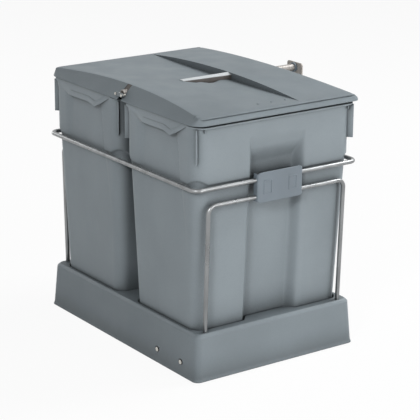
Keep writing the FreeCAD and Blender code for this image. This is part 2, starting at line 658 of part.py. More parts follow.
def make_cage(name, side, back, ball_z):
    body = new_body(name)
    near = "%d * %s" % (side, back)
    far = "%d * (%s - ball_radius - cage_rim)" % (side, BALL_X)
    web = "%d * (%s - cage_sheet)" % (side, back)
    low = "rail_level - %s" % ball_z
    high = "rail_level + %s" % ball_z
    half = "cage_sheet / 2"
    section = sketch_on(body, "XZ")
    polygon(section, [
        (near, low + " - " + half), (far, low + " - " + half), (far, low + " + " + half),
        (web, low + " + " + half), (web, high + " - " + half), (far, high + " - " + half),
        (far, high + " + " + half), (near, high + " + " + half)])
    pad(body, section, "cage_length", symmetric=True)
    seats = sketch_on(body, "XY")
    for y in ball_rows():
        circle(seats, "%d * %s" % (side, BALL_X), y, "ball_radius + ball_clearance")
    pocket(body, seats, symmetric=True)
    return body


def make_balls(name, ball_z):
    balls = []
    for side in (-1, 1):
        for sign in (-1, 1):
            for y in ball_rows():
                ball = doc.addObject("Part::Sphere", name + "_ball")
                bind(ball, Radius="ball_radius")
                place(ball, "%d * %s" % (side, BALL_X), y, "rail_level + %d * %s" % (sign, ball_z))
                balls.append(ball)
    return group(name, balls)


def make_runners():
    made = []
    screw_holes = [("-1 * rail_screw_front", "rail_screw_radius + screw_fit"),
                   ("-1 * rail_screw_back", "rail_screw_radius + screw_fit")]
    rivet_holes = [("%d * rail_rivet_spacing" % i, "rivet_radius + screw_fit") for i in (-1, 0, 1)]
    for side, word in ((-1, "left"), (1, "right")):
        made.append(channel_bar(word + "_moving_rail", side, RAIL_X, "rail_sheet",
                                "rail_height / 2", "moving_rail_width", True, screw_holes))
        made.append(channel_bar(word + "_mid_rail", side, MID_RAIL_X, "rail_sheet",
                                MID_HALF, "mid_rail_width", True, []))
        made.append(channel_bar(word + "_fixed_rail", side, FIXED_RAIL_X, "fixed_rail_sheet",
                                FIXED_HALF, "fixed_rail_width", False, rivet_holes))
        made.append(make_cage(word + "_outer_cage", side, OUTER_CAGE_X, OUTER_BALL_Z))
        made.append(make_cage(word + "_inner_cage", side, INNER_CAGE_X, INNER_BALL_Z))
    made.append(make_balls("outer_balls", OUTER_BALL_Z))
    made.append(make_balls("inner_balls", INNER_BALL_Z))
    rivets = []
    screws = []
    for side, axis, inward in ((-1, "X", "X"), (1, "-X", "-X")):
        for i in (-1, 0, 1):
            rivets.append(headed("rail_rivet", axis, "%d * (%s + fixed_rail_sheet)" % (side, WEB_X),
                                 "%d * rail_rivet_spacing" % i, "rail_level", "rivet_radius",
                                 "fixed_rail_sheet + base_sheet", "rivet_head_radius",
                                 "rivet_head_height"))
        for y in ("rail_screw_front", "rail_screw_back"):
            screws.append(headed("rail_screw", inward, "%d * %s" % (side, SCREW_SEAT_X),
                                 "-1 * " + y, "rail_level", "rail_screw_radius",
                                 "%s - %s + rail_sheet" % (SCREW_SEAT_X, RAIL_X),
                                 "rail_screw_head", "screw_head_height"))
    made.append(group("rail_rivets", rivets))
    made.append(group("rail_screws", screws))
    return made


# Base frame -------------------------------------------------------------

RIVET_X = "(%s - tie_lap)" % BASE_INNER_X


def make_base():
    made = []
    for side, word in ((-1, "left"), (1, "right")):
        body = new_body(word + "_base_angle")
        section = sketch_on(body, "XZ")
        outer = "%d * %s" % (side, WEB_X)
        inner = "%d * %s" % (side, BASE_INNER_X)
        toe = "%d * (%s - base_flange)" % (side, BASE_INNER_X)
        top = "rail_level + rail_height / 2"
        polygon(section, [(outer, "0"), (toe, "0"), (toe, "base_sheet"), (inner, "base_sheet"),
                          (inner, top), (outer, top)])
        pad(body, section, "rail_length", symmetric=True)
        floor = sketch_on(body, "XY")
        for sign in (-1, 1):
            circle(floor, "%d * floor_hole_x / 2" % side, "%d * floor_hole_y / 2" % sign,
                   "floor_hole_radius")
            circle(floor, "%d * %s" % (side, RIVET_X), "%d * tie_spacing / 2" % sign,
                   "rivet_radius + screw_fit")
        pocket(body, floor, symmetric=True)
        upright = sketch_on(body, "YZ")
        for i in (-1, 0, 1):
            circle(upright, "%d * rail_rivet_spacing" % i, "rail_level",
                   "rivet_radius + screw_fit")
        pocket(body, upright, symmetric=True)
        made.append(body)
    rivets = []
    for sign, word in ((-1, "front"), (1, "rear")):
        body = new_body(word + "_cross_tie")
        flat = sketch_on(body, "XY", "base_sheet")
        middle = "%d * tie_spacing / 2" % sign
        reach = "(%s - 2 * rivet_radius)" % BASE_INNER_X
        rectangle(flat, "-1 * " + reach, middle + " - tie_depth / 2", reach,
                  middle + " + tie_depth / 2")
        for side in (-1, 1):
            circle(flat, "%d * %s" % (side, RIVET_X), middle, "rivet_radius + screw_fit")
            rivets.append(headed("tie_rivet", "-Z", "%d * %s" % (side, RIVET_X), middle,
                                 "base_sheet + tie_sheet", "rivet_radius",
                                 "base_sheet + tie_sheet", "rivet_head_radius",
                                 "rivet_head_height"))
        pad(body, flat, "tie_sheet")
        made.append(body)
    made.append(group("tie_rivets", rivets))
    return made


# Wires ------------------------------------------------------------------

def make_ring():
    body = new_body("ring_wire")
    path = sketch_on(body, "XY", RING_LEVEL)
    rounded_rectangle(path, RING_X, RING_Y, "ring_corner")
    section = sketch_on(body, "YZ")
    circle(section, "-1 * " + RING_Y, RING_LEVEL, "wire_radius")
    doc.recompute()
    pipe = body.newObject("PartDesign::AdditivePipe", "ring_wire_pipe")
    pipe.Profile = section
    pipe.Spine = (path, [])
    return body


def make_hoop(name, side):
    """Inverted U in its own XZ plane, its top wire on the X axis, then leaned."""
    body = new_body(name)
    half = "hoop_span / 2"
    bend = "hoop_corner"
    path = sketch_on(body, "XZ")
    corner = number(half) - number(bend)
    radius = number(bend)
    drop = -number(HOOP_LENGTH)
    up = FreeCAD.Vector(0, 0, 1)
    left_leg = path.addGeometry(Part.LineSegment(
        FreeCAD.Vector(-number(half), drop, 0), FreeCAD.Vector(-number(half), -radius, 0)))
    left_bend = path.addGeometry(Part.ArcOfCircle(
        Part.Circle(FreeCAD.Vector(-corner, -radius, 0), up, radius), math.pi / 2, math.pi))
    top = path.addGeometry(Part.LineSegment(
        FreeCAD.Vector(-corner, 0, 0), FreeCAD.Vector(corner, 0, 0)))
    right_bend = path.addGeometry(Part.ArcOfCircle(
        Part.Circle(FreeCAD.Vector(corner, -radius, 0), up, radius), 0, math.pi / 2))
    right_leg = path.addGeometry(Part.LineSegment(
        FreeCAD.Vector(number(half), -radius, 0), FreeCAD.Vector(number(half), drop, 0)))
    for first, first_end, second, second_end in (
            (left_leg, 2, left_bend, 2), (left_bend, 1, top, 1),
            (top, 2, right_bend, 2), (right_bend, 1, right_leg, 1)):
        path.addConstraint(Sketcher.Constraint("Tangent", first, first_end, second, second_end))
    pin_point(path, left_bend, 3, "%s - %s" % (bend, half), "-1 * " + bend)
    pin_point(path, right_bend, 3, "%s - %s" % (half, bend), "-1 * " + bend)
    for arc in (left_bend, right_bend):
        size = path.addConstraint(Sketcher.Constraint("Radius", arc, radius))
        path.setExpression("Constraints[%d]" % size, full(bend))
    pin_point(path, left_leg, 1, "-1 * " + half, "-1 * " + HOOP_LENGTH)
    pin_point(path, right_leg, 2, half, "-1 * " + HOOP_LENGTH)
    section = sketch_on(body, "XY", "-1 * " + HOOP_LENGTH)
    circle(section, "-1 * " + half, "0", "wire_radius")
    doc.recompute()
    pipe = body.newObject("PartDesign::AdditivePipe", name + "_pipe")
    pipe.Profile = section
    pipe.Spine = (path, [])
    turn(body, (1, 0, 0), "%d * hoop_lean" % -side)
    place(body, "0", "%d * %s" % (side, RING_Y), HOOP_LEVEL)
    return body


def make_hoop_nuts():
    nuts = []
    top = "(boss_length * cos(hoop_lean))"
    level = "(tray_height - tray_wall / 2 - %s)" % top
    for side_y in (-1, 1):
        for side_x in (-1, 1):
            hexagon = doc.addObject("Part::Prism", "hoop_nut_hexagon")
            hexagon.Polygon = 6
            bind(hexagon, Circumradius="nut_radius", Height="nut_height")
            bore = doc.addObject("Part::Cylinder", "hoop_nut_bore")
            bind(bore, Radius="wire_radius + screw_fit", Height="nut_height")
            nut = doc.addObject("Part::Cut", "hoop_nut")
            nut.Base = hexagon
            nut.Tool = bore
            turn(nut, (1, 0, 0), "180 + %d * hoop_lean" % -side_y)
            place(nut, "%d * hoop_span / 2" % side_x,
                  "%d * %s" % (side_y, hoop_foot(level)), level)
            nuts.append(nut)
    return group("hoop_nuts", nuts)


# Door bracket and rear tie -------------------------------------------------

BRACKET_BACK = "(%s + wire_radius + wire_seat)" % RING_Y
BRACKET_FACE = "(%s + bracket_sheet)" % BRACKET_BACK
CLAMP_FACE = "(%s - wire_radius - wire_seat)" % RING_Y
CLAMP_BACK = "(%s - clamp_sheet)" % CLAMP_FACE


def make_door_bracket():
    body = new_body("door_bracket")
    half = "(bracket_width / 2)"
    low = "(%s - bracket_height / 2)" % BRACKET_LEVEL
    plan = sketch_on(body, "XY", low)
    face = "-1 * " + BRACKET_FACE
    inner_face = "-1 * " + BRACKET_BACK
    flange_end = "%s + bracket_flange" % face
    inside = "(%s - bracket_sheet)" % half
    polygon(plan, [
        ("-1 * " + half, face), (half, face), (half, flange_end), (inside, flange_end),
        (inside, inner_face), ("-1 * " + inside, inner_face), ("-1 * " + inside, flange_end),
        ("-1 * " + half, flange_end)])
    pad(body, plan, "bracket_height")
    trim = sketch_on(body, "XZ", BRACKET_FACE + " + overcut")
    rounded_rectangle(trim, half, "bracket_height / 2", "bracket_corner", "0", BRACKET_LEVEL)
    rectangle(trim, "-2 * " + half, BRACKET_LEVEL + " - bracket_height", "2 * " + half,
              BRACKET_LEVEL + " + bracket_height")
    pocket(body, trim, "bracket_flange + 2 * overcut")
    for level in (RING_LEVEL, HOOP_LEVEL):
        slot = sketch_on(body, "YZ")
        seat = "wire_radius + wire_seat"
        rectangle(slot, "-1 * " + RING_Y, "%s - %s" % (level, seat),
                  flange_end + " + overcut", "%s + %s" % (level, seat))
        pocket(body, slot, "bracket_width + 2 * overcut", symmetric=True)
        round_seat = sketch_on(body, "YZ")
        circle(round_seat, "-1 * " + RING_Y, level, seat)
        pocket(body, round_seat, "bracket_width + 2 * overcut", symmetric=True)
    fields = sketch_on(body, "XZ", BRACKET_FACE)
    for sign in (-1, 1):
        middle = "%d * pad_spacing / 2" % sign
        rectangle(fields, middle + " - pad_width / 2", BRACKET_LEVEL + " - pad_height / 2",
                  middle + " + pad_width / 2", BRACKET_LEVEL + " + pad_height / 2")
    pocket(body, fields, "pad_depth")
    taps = sketch_on(body, "XZ", BRACKET_BACK)
    for sign in (-1, 1):
        circle(taps, "%d * clamp_screw_spacing / 2" % sign, CLAMP_Z,
               "clamp_screw_radius + screw_fit")
    pocket(body, taps, "clamp_screw_bite - pad_depth", reverse=True)
    return body


def make_clamp(name, side, outer, half_x):
    """Flat plate with two screw holes, its outer face at a distance from the middle."""
    body = new_body(name)
    face = sketch_on(body, "XZ", "%d * %s" % (-side, outer))
    rounded_rectangle(face, half_x, "clamp_height / 2", "bracket_corner / 2", "0", CLAMP_Z)
    for sign in (-1, 1):
        circle(face, "%d * clamp_screw_spacing / 2" % sign, CLAMP_Z,
               "clamp_screw_radius + screw_fit")
    pad(body, face, "clamp_sheet", reverse=side < 0)
    return body


def make_clamps():
    made = [make_door_bracket()]
    made.append(make_clamp("bracket_clamp", -1, CLAMP_FACE, "clamp_width / 2"))
    made.append(make_clamp("rear_clamp", 1, CLAMP_FACE, "clamp_width / 2"))
    made.append(make_clamp("rear_tie_plate", 1, "(%s + clamp_sheet)" % BRACKET_BACK,
                           "clamp_width / 2"))
    front = []
    rear = []
    for sign in (-1, 1):
        x = "%d * clamp_screw_spacing / 2" % sign
        front.append(headed("bracket_screw", "-Y", x, "-1 * " + CLAMP_BACK, CLAMP_Z,
                            "clamp_screw_radius",
                            "%s + clamp_screw_bite - pad_depth - %s" % (BRACKET_BACK, CLAMP_BACK),
                            "clamp_head_radius", "clamp_head_height"))
        rear.append(headed("rear_tie_screw", "-Y", x, BRACKET_BACK + " + clamp_sheet", CLAMP_Z,
                           "clamp_screw_radius",
                           "%s + clamp_sheet - %s" % (BRACKET_BACK, CLAMP_BACK),
                           "clamp_head_radius", "clamp_head_height"))
    made.append(group("bracket_screws", front))
    made.append(group("rear_tie_screws", rear))
    return made


# Lid --------------------------------------------------------------------

def sheet_sketch(name, plane, offset):
    """Free sketch on a world plane, moved along the plane's normal."""
    sketch = doc.addObject("Sketcher::SketchObject", name)
    x_axis = FreeCAD.Vector(1, 0, 0)
    if plane == "XZ":
        sketch.Placement.Rotation = FreeCAD.Rotation(x_axis, 90)
        bind(sketch, Placement__Base__y="-1 * (%s)" % offset)
    if plane == "YZ":
        sketch.Placement.Rotation = FreeCAD.Rotation(
            FreeCAD.Vector(0, 1, 0), FreeCAD.Vector(0, 0, 1), x_axis, "ZXY")
        bind(sketch, Placement__Base__x=offset)
    if plane == "XY":
        bind(sketch, Placement__Base__z=offset)
    return sketch


def extrusion(name, sketch, direction, length, symmetric=False):
    solid = doc.addObject("Part::Extrusion", name)
    solid.Base = sketch
    solid.DirMode = "Custom"
    solid.Dir = FreeCAD.Vector(*direction)
    solid.Solid = True
    solid.Symmetric = symmetric
    bind(solid, LengthFwd=length)
    return solid


def boolean(kind, name, base, tool):
    result = doc.addObject("Part::" + kind, name)
    result.Base = base
    result.Tool = tool
    return result


def arch_line(sketch, crown, half, top):
    """Outline between the arch and a straight top: arc, side, top, side."""
    radius = "lid_arch_radius"
    centre_z = "(%s - %s)" % (crown, radius)
    size = number(radius)
    reach = number(half)
    low = number(centre_z) + math.sqrt(size * size - reach * reach)
    spread = math.asin(reach / size)
    arc = sketch.addGeometry(Part.ArcOfCircle(
        Part.Circle(FreeCAD.Vector(0, number(centre_z), 0), FreeCAD.Vector(0, 0, 1), size),
        math.pi / 2 - spread, math.pi / 2 + spread))
    right = sketch.addGeometry(Part.LineSegment(
        FreeCAD.Vector(reach, low, 0), FreeCAD.Vector(reach, number(top), 0)))
    roof = sketch.addGeometry(Part.LineSegment(
        FreeCAD.Vector(reach, number(top), 0), FreeCAD.Vector(-reach, number(top), 0)))
    left = sketch.addGeometry(Part.LineSegment(
        FreeCAD.Vector(-reach, number(top), 0), FreeCAD.Vector(-reach, low, 0)))
    for first, first_end, second, second_end in (
            (arc, 1, right, 1), (left, 2, arc, 2)):
        sketch.addConstraint(
            Sketcher.Constraint("Coincident", first, first_end, second, second_end))
    pin_point(sketch, arc, 3, "0", centre_z)
    index = sketch.addConstraint(Sketcher.Constraint("Radius", arc, size))
    sketch.setExpression("Constraints[%d]" % index, full(radius))
    for line, sign in ((right, 1), (left, -1)):
        sketch.addConstraint(Sketcher.Constraint("Vertical", line))
        edge = sketch.addConstraint(
            Sketcher.Constraint("DistanceX", -1, 1, line, 1, sign * reach))
        sketch.setExpression("Constraints[%d]" % edge, full("%d * (%s)" % (sign, half)))
    sketch.addConstraint(Sketcher.Constraint("Coincident", right, 2, roof, 1))
    sketch.addConstraint(Sketcher.Constraint("Coincident", roof, 2, left, 1))
    sketch.addConstraint(Sketcher.Constraint("Horizontal", roof))
    edge = sketch.addConstraint(
        Sketcher.Constraint("DistanceY", -1, 1, roof, 1, number(top)))
    sketch.setExpression("Constraints[%d]" % edge, full(top))


def lid_form(name, inset):
    """Solid of the lid's outer shape, or of its hollow where inset is the wall."""
    low = "(%s - (%s))" % (LID_EDGE, inset)
    top = "(%s + lid_cut_margin)" % LID_CROWN
    half_x = "(%s - (%s))" % (LID_X, inset)
    half_y = "(%s - (%s))" % (LID_Y, inset)
    crown = "(%s - (%s))" % (LID_CROWN, inset)
    slope = "(lid_band / lid_crown)"
    plan = sheet_sketch(name + "_plan", "XY", low)
    rounded_rectangle(plan, half_x, half_y, "lid_corner - (%s)" % inset)
    column = extrusion(name + "_column", plan, (0, 0, 1), "lid_crown + lid_cut_margin")
    band = sheet_sketch(name + "_band", "XZ", "0")
    low_x = "(%s + (%s) * %s)" % (half_x, inset, slope)
    high_x = "(%s - (lid_crown + lid_cut_margin) * %s)" % (half_x, slope)
    polygon(band, [("-1 * " + low_x, low), (low_x, low), (high_x, top), ("-1 * " + high_x, top)])
    prism = extrusion(name + "_prism", band, (0, 1, 0), "3 * " + LID_Y, symmetric=True)
    bevelled = boolean("Common", name + "_bevelled", column, prism)
    high = "(%s + lid_cut_margin)" % top
    above = sheet_sketch(name + "_above", "YZ", "-2 * " + LID_X)
    arch_line(above, crown, LID_CUT_Y, high)
    sky = extrusion(name + "_sky", above, (1, 0, 0), "4 * " + LID_X)
    arched = boolean("Cut", name + "_arched", bevelled, sky)
    # Left of the crescent step the top is ruled from the arch to a straight line.
    left = sheet_sketch(name + "_ruled_left", "YZ", "lid_band - " + LID_X)
    arch_line(left, "(%s - lid_ruled_sink)" % crown, LID_CUT_Y, high)
    right = sheet_sketch(name + "_ruled_right", "YZ", "lid_step_x + (%s)" % inset)
    chord = "(%s - (%s))" % (STEP_Z, inset)
    far = "-1 * " + LID_CUT_Y
    polygon(right, [(LID_CUT_Y, chord), (LID_CUT_Y, high), (far, high), (far, chord)])
    wedge = doc.addObject("Part::Loft", name + "_wedge")
    wedge.Sections = [left, right]
    wedge.Solid = True
    wedge.Ruled = True
    return boolean("Cut", name + "_form", arched, wedge)


def lid_box(name, x0, x1, y0, y1, z0, z1):
    box = doc.addObject("Part::Box", name)
    bind(box, Length="%s - (%s)" % (x1, x0), Width="%s - (%s)" % (y1, y0),
         Height="%s - (%s)" % (z1, z0))
    place(box, x0, y0, z0)
    return box


def make_lid():
    outer = lid_form("lid_outer", "0")
    hollow = lid_form("lid_hollow", "lid_wall")
    shell = boolean("Cut", "lid_shell", outer, hollow)
    # Raised housing over the bar, flat on top and sloped at the back.
    profile = sheet_sketch("lid_housing_profile", "YZ", "-1 * housing_left")
    front = "bar_y - housing_front"
    base = "(%s - 2 * overcut)" % BAR_Z
    top = "(%s + housing_top)" % LID_EDGE
    polygon(profile, [(front, base), (front, top), (front + " + housing_flat", top),
                      ("bar_y + housing_back", STEP_Z), ("bar_y + housing_back", base)])
    housing = extrusion("lid_housing", profile, (1, 0, 0), "housing_left + lid_step_x + lid_wall + overcut")
    # Solid ground under the finger scoop, later cut out.
    scoop_front = "(bar_y - housing_front - scoop_depth_y)"
    ground = lid_box("lid_scoop_ground", "-1 * (scoop_left + lid_wall)", "scoop_right + lid_wall",
                     scoop_front + " - lid_wall", front + " + lid_wall",
                     "%s + scoop_floor - lid_wall" % LID_EDGE, "%s - lid_wall / 2" % STEP_Z)
    ribs = []
    for i, x in enumerate(("-1 * lid_rib_x", "lid_step_x + 3 * lid_rib_thickness",
                           "lid_rib_x - lid_rib_thickness")):
        foot = "%s + lid_rib_gap" % RIM_TOP
        raw = lid_box("lid_rib_raw", x, x + " + lid_rib_thickness", "-1 * lid_rib_length / 2",
                      "lid_rib_length / 2", foot, LID_CROWN)
        trim_top = boolean("Common", "lid_rib_%d" % i, raw, lid_rib_limit(i))
        ribs.append(trim_top)
    solid = doc.addObject("Part::MultiFuse", "lid_solid")
    solid.Shapes = [shell, housing, ground] + ribs
    scoop = lid_box("lid_scoop", "-1 * scoop_left", "scoop_right", scoop_front, front,
                    "%s + scoop_floor" % LID_EDGE, LID_CROWN)
    seat = "(bar_radius + saddle_clearance)"
    far = "-1 * " + LID_CUT_X
    round_seat = rod("lid_bar_seat", "X", far, "bar_y", BAR_Z, seat, "2 * " + LID_CUT_X)
    below = lid_box("lid_bar_way", far, LID_CUT_X, "bar_y - " + seat, "bar_y + " + seat,
                    RIM_TOP + " - 5 * overcut", BAR_Z)
    slot = lid_box("lid_slot", far, "lid_band - " + LID_X, "bar_y - " + seat,
                   "bar_y + " + seat, BAR_Z, LID_CROWN)
    tools = doc.addObject("Part::MultiFuse", "lid_cuts")
    tools.Shapes = [scoop, round_seat, below, slot]
    opened = boolean("Cut", "lid_opened", solid, tools)
    pads = []
    for sign in (-1, 1):
        middle = "bar_y + %d * clip_screw_spacing / 2" % sign
        pad_box = lid_box("lid_clip_pad", "-1 * (%s)" % CLIP_X,
                          "-1 * (%s - clip_rise * lid_band / lid_crown - lid_wall)" % LID_X,
                          middle + " - clip_pad_width / 2", middle + " + clip_pad_width / 2",
                          "%s + clip_rise - clip_height / 2" % LID_EDGE,
                          "%s + clip_rise + clip_height / 2" % LID_EDGE)
        hole = rod("lid_clip_hole", "X", "-1.1 * (%s)" % LID_X, middle,
                   "%s + clip_rise" % LID_EDGE, "clip_screw_radius + screw_fit",
                   "1.1 * %s - %s + %s" % (LID_X, CLIP_X, CLIP_SCREW_LENGTH))
        pads.append((pad_box, hole))
    padded = doc.addObject("Part::MultiFuse", "lid_padded")
    padded.Shapes = [opened] + [pad_box for pad_box, hole in pads]
    holes = doc.addObject("Part::Compound", "lid_clip_holes")
    holes.Links = [hole for pad_box, hole in pads]
    lid = boolean("Cut", "lid", padded, holes)
    lid.Label = "lid"
    return lid


def lid_rib_limit(index):
    """Outer shape again, which the ribs are cut to, with room below the edge."""
    limit = lid_form("lid_limit_%d" % index, "lid_wall / 2")
    under = lid_box("lid_under_%d" % index, "-1 * " + LID_X, LID_X, "-1 * " + LID_Y, LID_Y,
                    RIM_TOP + " - overcut", LID_EDGE)
    whole = doc.addObject("Part::Fuse", "lid_rib_limit_%d" % index)
    whole.Base = limit
    whole.Tool = under
    return whole


CLIP_X = "(%s - clip_head_height)" % LID_X
CLIP_SCREW_LENGTH = "(4 * clip_sheet)"


def make_lid_clip():
    body = new_body("lid_clip")
    face = sketch_on(body, "YZ", "-1 * (%s + clip_sheet)" % CLIP_X)
    level = "%s + clip_rise" % LID_EDGE
    rounded_rectangle(face, "clip_length / 2", "clip_height / 2", "clip_height / 2 - 0.1",
                      "bar_y", level)
    for sign in (-1, 1):
        circle(face, "bar_y + %d * clip_screw_spacing / 2" % sign, level,
               "clip_screw_radius + screw_fit")
    pad(body, face, "clip_sheet")
    screws = []
    for sign in (-1, 1):
        screws.append(headed("lid_clip_screw", "X", "-1 * (%s + clip_sheet)" % CLIP_X,
                             "bar_y + %d * clip_screw_spacing / 2" % sign, level,
                             "clip_screw_radius", CLIP_SCREW_LENGTH, "clip_head_radius",
                             "clip_head_height"))
    return [body, group("lid_clip_screws", screws)]


def make_bar():
    body = new_body("lid_bar")
    section = sketch_on(body, "YZ", "-1 * bar_left")
    circle(section, "bar_y", BAR_Z, "bar_radius")
    circle(section, "bar_y", BAR_Z, "bar_radius - bar_wall")
    pad(body, section, "bar_left + %s - plate_sheet" % PLATE_X)
    ring = new_body("bar_flange")
    section = sketch_on(ring, "YZ", "%s - plate_sheet - flange_width" % PLATE_X)
    circle(section, "bar_y", BAR_Z, "flange_radius")
    circle(section, "bar_y", BAR_Z, "bar_radius + screw_fit")
    pad(ring, section, "flange_width")
    wall = new_body("wall_plate")
    section = sketch_on(wall, "YZ", "%s - plate_sheet" % PLATE_X)
    middle_z = "(%s + plate_rise - plate_height / 2)" % BAR_Z
    rounded_rectangle(section, "plate_width / 2", "plate_height / 2", "plate_corner", "bar_y",
                      middle_z)
    for sign_y in (-1, 1):
        for sign_z in (-1, 1):
            circle(section, "bar_y + %d * plate_hole_x / 2" % sign_y,
                   "%s - plate_hole_drop + %d * plate_hole_z / 2" % (BAR_Z, sign_z),
                   "plate_hole_radius")
    pad(wall, section, "plate_sheet")
    return [body, ring, wall]


# The whole unit ---------------------------------------------------------

nodes = [make_tray()]
nodes.append(make_bin("front_bin", "-1 * %s / 2" % BIN_PITCH))
nodes.append(make_bin("rear_bin", "%s / 2" % BIN_PITCH))
nodes += make_runners()
nodes += make_base()
nodes.append(make_ring())
nodes.append(make_hoop("front_hoop", -1))
nodes.append(make_hoop("rear_hoop", 1))
nodes.append(make_hoop_nuts())
nodes += make_clamps()
nodes.append(make_lid())
nodes += make_lid_clip()
nodes += make_bar()

doc.recompute()

for thing in doc.Objects:
    if "Invalid" in thing.State or "Error" in thing.State:
        raise RuntimeError("%s has failed: %s" % (thing.Name, thing.State))
for node in nodes:
    if node.Shape.isNull() or not node.Shape.isValid():
        raise RuntimeError("%s has no valid shape" % node.Label)

os.makedirs("parts", exist_ok=True)
for node in nodes:
    node.Shape.exportStep("parts/%s.step" % node.Label)
    box = node.Shape.BoundBox
    print("%-20s %2d solids %10.1f mm3  x %7.1f %7.1f  y %7.1f %7.1f  z %6.1f %6.1f" % (
        node.Label, len(node.Shape.Solids), node.Shape.Volume, box.XMin, box.XMax, box.YMin,
        box.YMax, box.ZMin, box.ZMax))
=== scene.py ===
"""Pull-out unit with two waste bins on a sliding tray, dressed for its picture.

Lengths are in millimetres and become metres where a mesh is made.
"""

import math

import bmesh
import bpy
import numpy as np
from mathutils import Matrix, Vector
from mathutils.geometry import tessellate_polygon


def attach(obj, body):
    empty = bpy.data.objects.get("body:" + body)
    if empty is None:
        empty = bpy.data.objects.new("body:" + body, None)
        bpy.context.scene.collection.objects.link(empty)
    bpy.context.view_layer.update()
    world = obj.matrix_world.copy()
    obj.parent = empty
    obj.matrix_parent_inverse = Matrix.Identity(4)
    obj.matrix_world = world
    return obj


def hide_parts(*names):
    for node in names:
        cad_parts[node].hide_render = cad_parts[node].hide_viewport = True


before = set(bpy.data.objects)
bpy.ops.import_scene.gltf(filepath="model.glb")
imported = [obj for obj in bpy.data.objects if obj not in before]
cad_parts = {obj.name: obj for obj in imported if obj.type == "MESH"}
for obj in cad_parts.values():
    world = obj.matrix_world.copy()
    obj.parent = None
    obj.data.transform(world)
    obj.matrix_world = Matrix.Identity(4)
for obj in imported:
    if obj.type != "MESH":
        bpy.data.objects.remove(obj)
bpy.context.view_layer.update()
scene = bpy.context.scene
MM = 0.001
# The unit's directions: to the right, to the back and up.
ACROSS, ALONG, UP = (1.0, 0.0, 0.0), (0.0, 1.0, 0.0), (0.0, 0.0, 1.0)


# Numbers ------------------------------------------------------------------

def smooth(value, low, high):
    """0 at low, 1 at high, and a soft step between them."""
    t = np.clip((value - low) / (high - low), 0.0, 1.0)
    return t * t * (3.0 - 2.0 * t)


def staged(value, stages):
    """The sum of soft steps, each given as (size, start, end)."""
    return sum(size * smooth(value, start, end) for size, start, end in stages)


def bell(value, middle, width):
    """1 at the middle, falling off softly on both sides."""
    return np.exp(-((value - middle) / width) ** 2)


def soft_min(first, second, width):
    """The lower of two heights, rounded where they meet."""
    near = np.maximum(width - np.abs(first - second), 0.0) / width
    return np.minimum(first, second) - near * near * width / 4.0


def spread(*stops):
    """Values from stop to stop, each stop given as (value, cells to the next)."""
    values = []
    for (start, cells), (end, _) in zip(stops, stops[1:]):
        values += list(np.linspace(start, end, cells + 1)[:-1])
    return np.array(values + [stops[-1][0]])


def points(x, y, z):
    """Points from their coordinates, each of which may be an array or one number."""
    return np.stack(np.broadcast_arrays(x, y, z), axis=-1)


def even(cells):
    """Evenly spaced parts of a half size, from -1 to 1."""
    return np.linspace(-1, 1, cells + 1)


# Meshes -------------------------------------------------------------------

def stations(front, right, back, left, arc):
    """Places round a rounded rectangle: parts of its half sizes, and the way out."""
    rows = []
    for quarter, parts in enumerate((front, right, back, left)):
        side = math.radians(90 * quarter - 90)
        out = (math.cos(side), math.sin(side))
        ahead = (-out[1], out[0])
        for part in parts:
            rows.append((out[0] + part * ahead[0], out[1] + part * ahead[1], out[0], out[1]))
        for step in range(1, arc):
            angle = side + math.radians(90) * step / arc
            rows.append((out[0] + ahead[0], out[1] + ahead[1], math.cos(angle), math.sin(angle)))
    return np.array(rows)


def plain_stations(across, along, arc):
    """Stations with even cells along each side."""
    wide, deep = even(across), even(along)
    return stations(wide, deep, wide, deep, arc)


def ring(places, half_x, half_y, radius, z, middle=(0.0, 0.0)):
    """Points of a rounded rectangle at one height."""
    x = places[:, 0] * (half_x - radius) + places[:, 2] * radius + middle[0]
    y = places[:, 1] * (half_y - radius) + places[:, 3] * radius + middle[1]
    return points(x, y, z)


# What stays of a block's face at least, and how near, in metres, points become one.
SLIVER, NEARNESS = 1e-3, 2e-6
# A direction that no wire takes, and the rounding of a wire's ends as parts of its radius: how
# far beyond the end, and how wide.
ASKEW = (0.3, 0.5, 0.81)
WIRE_END = ((0.14, 0.88), (0.24, 0.62), (0.3, 0.0))


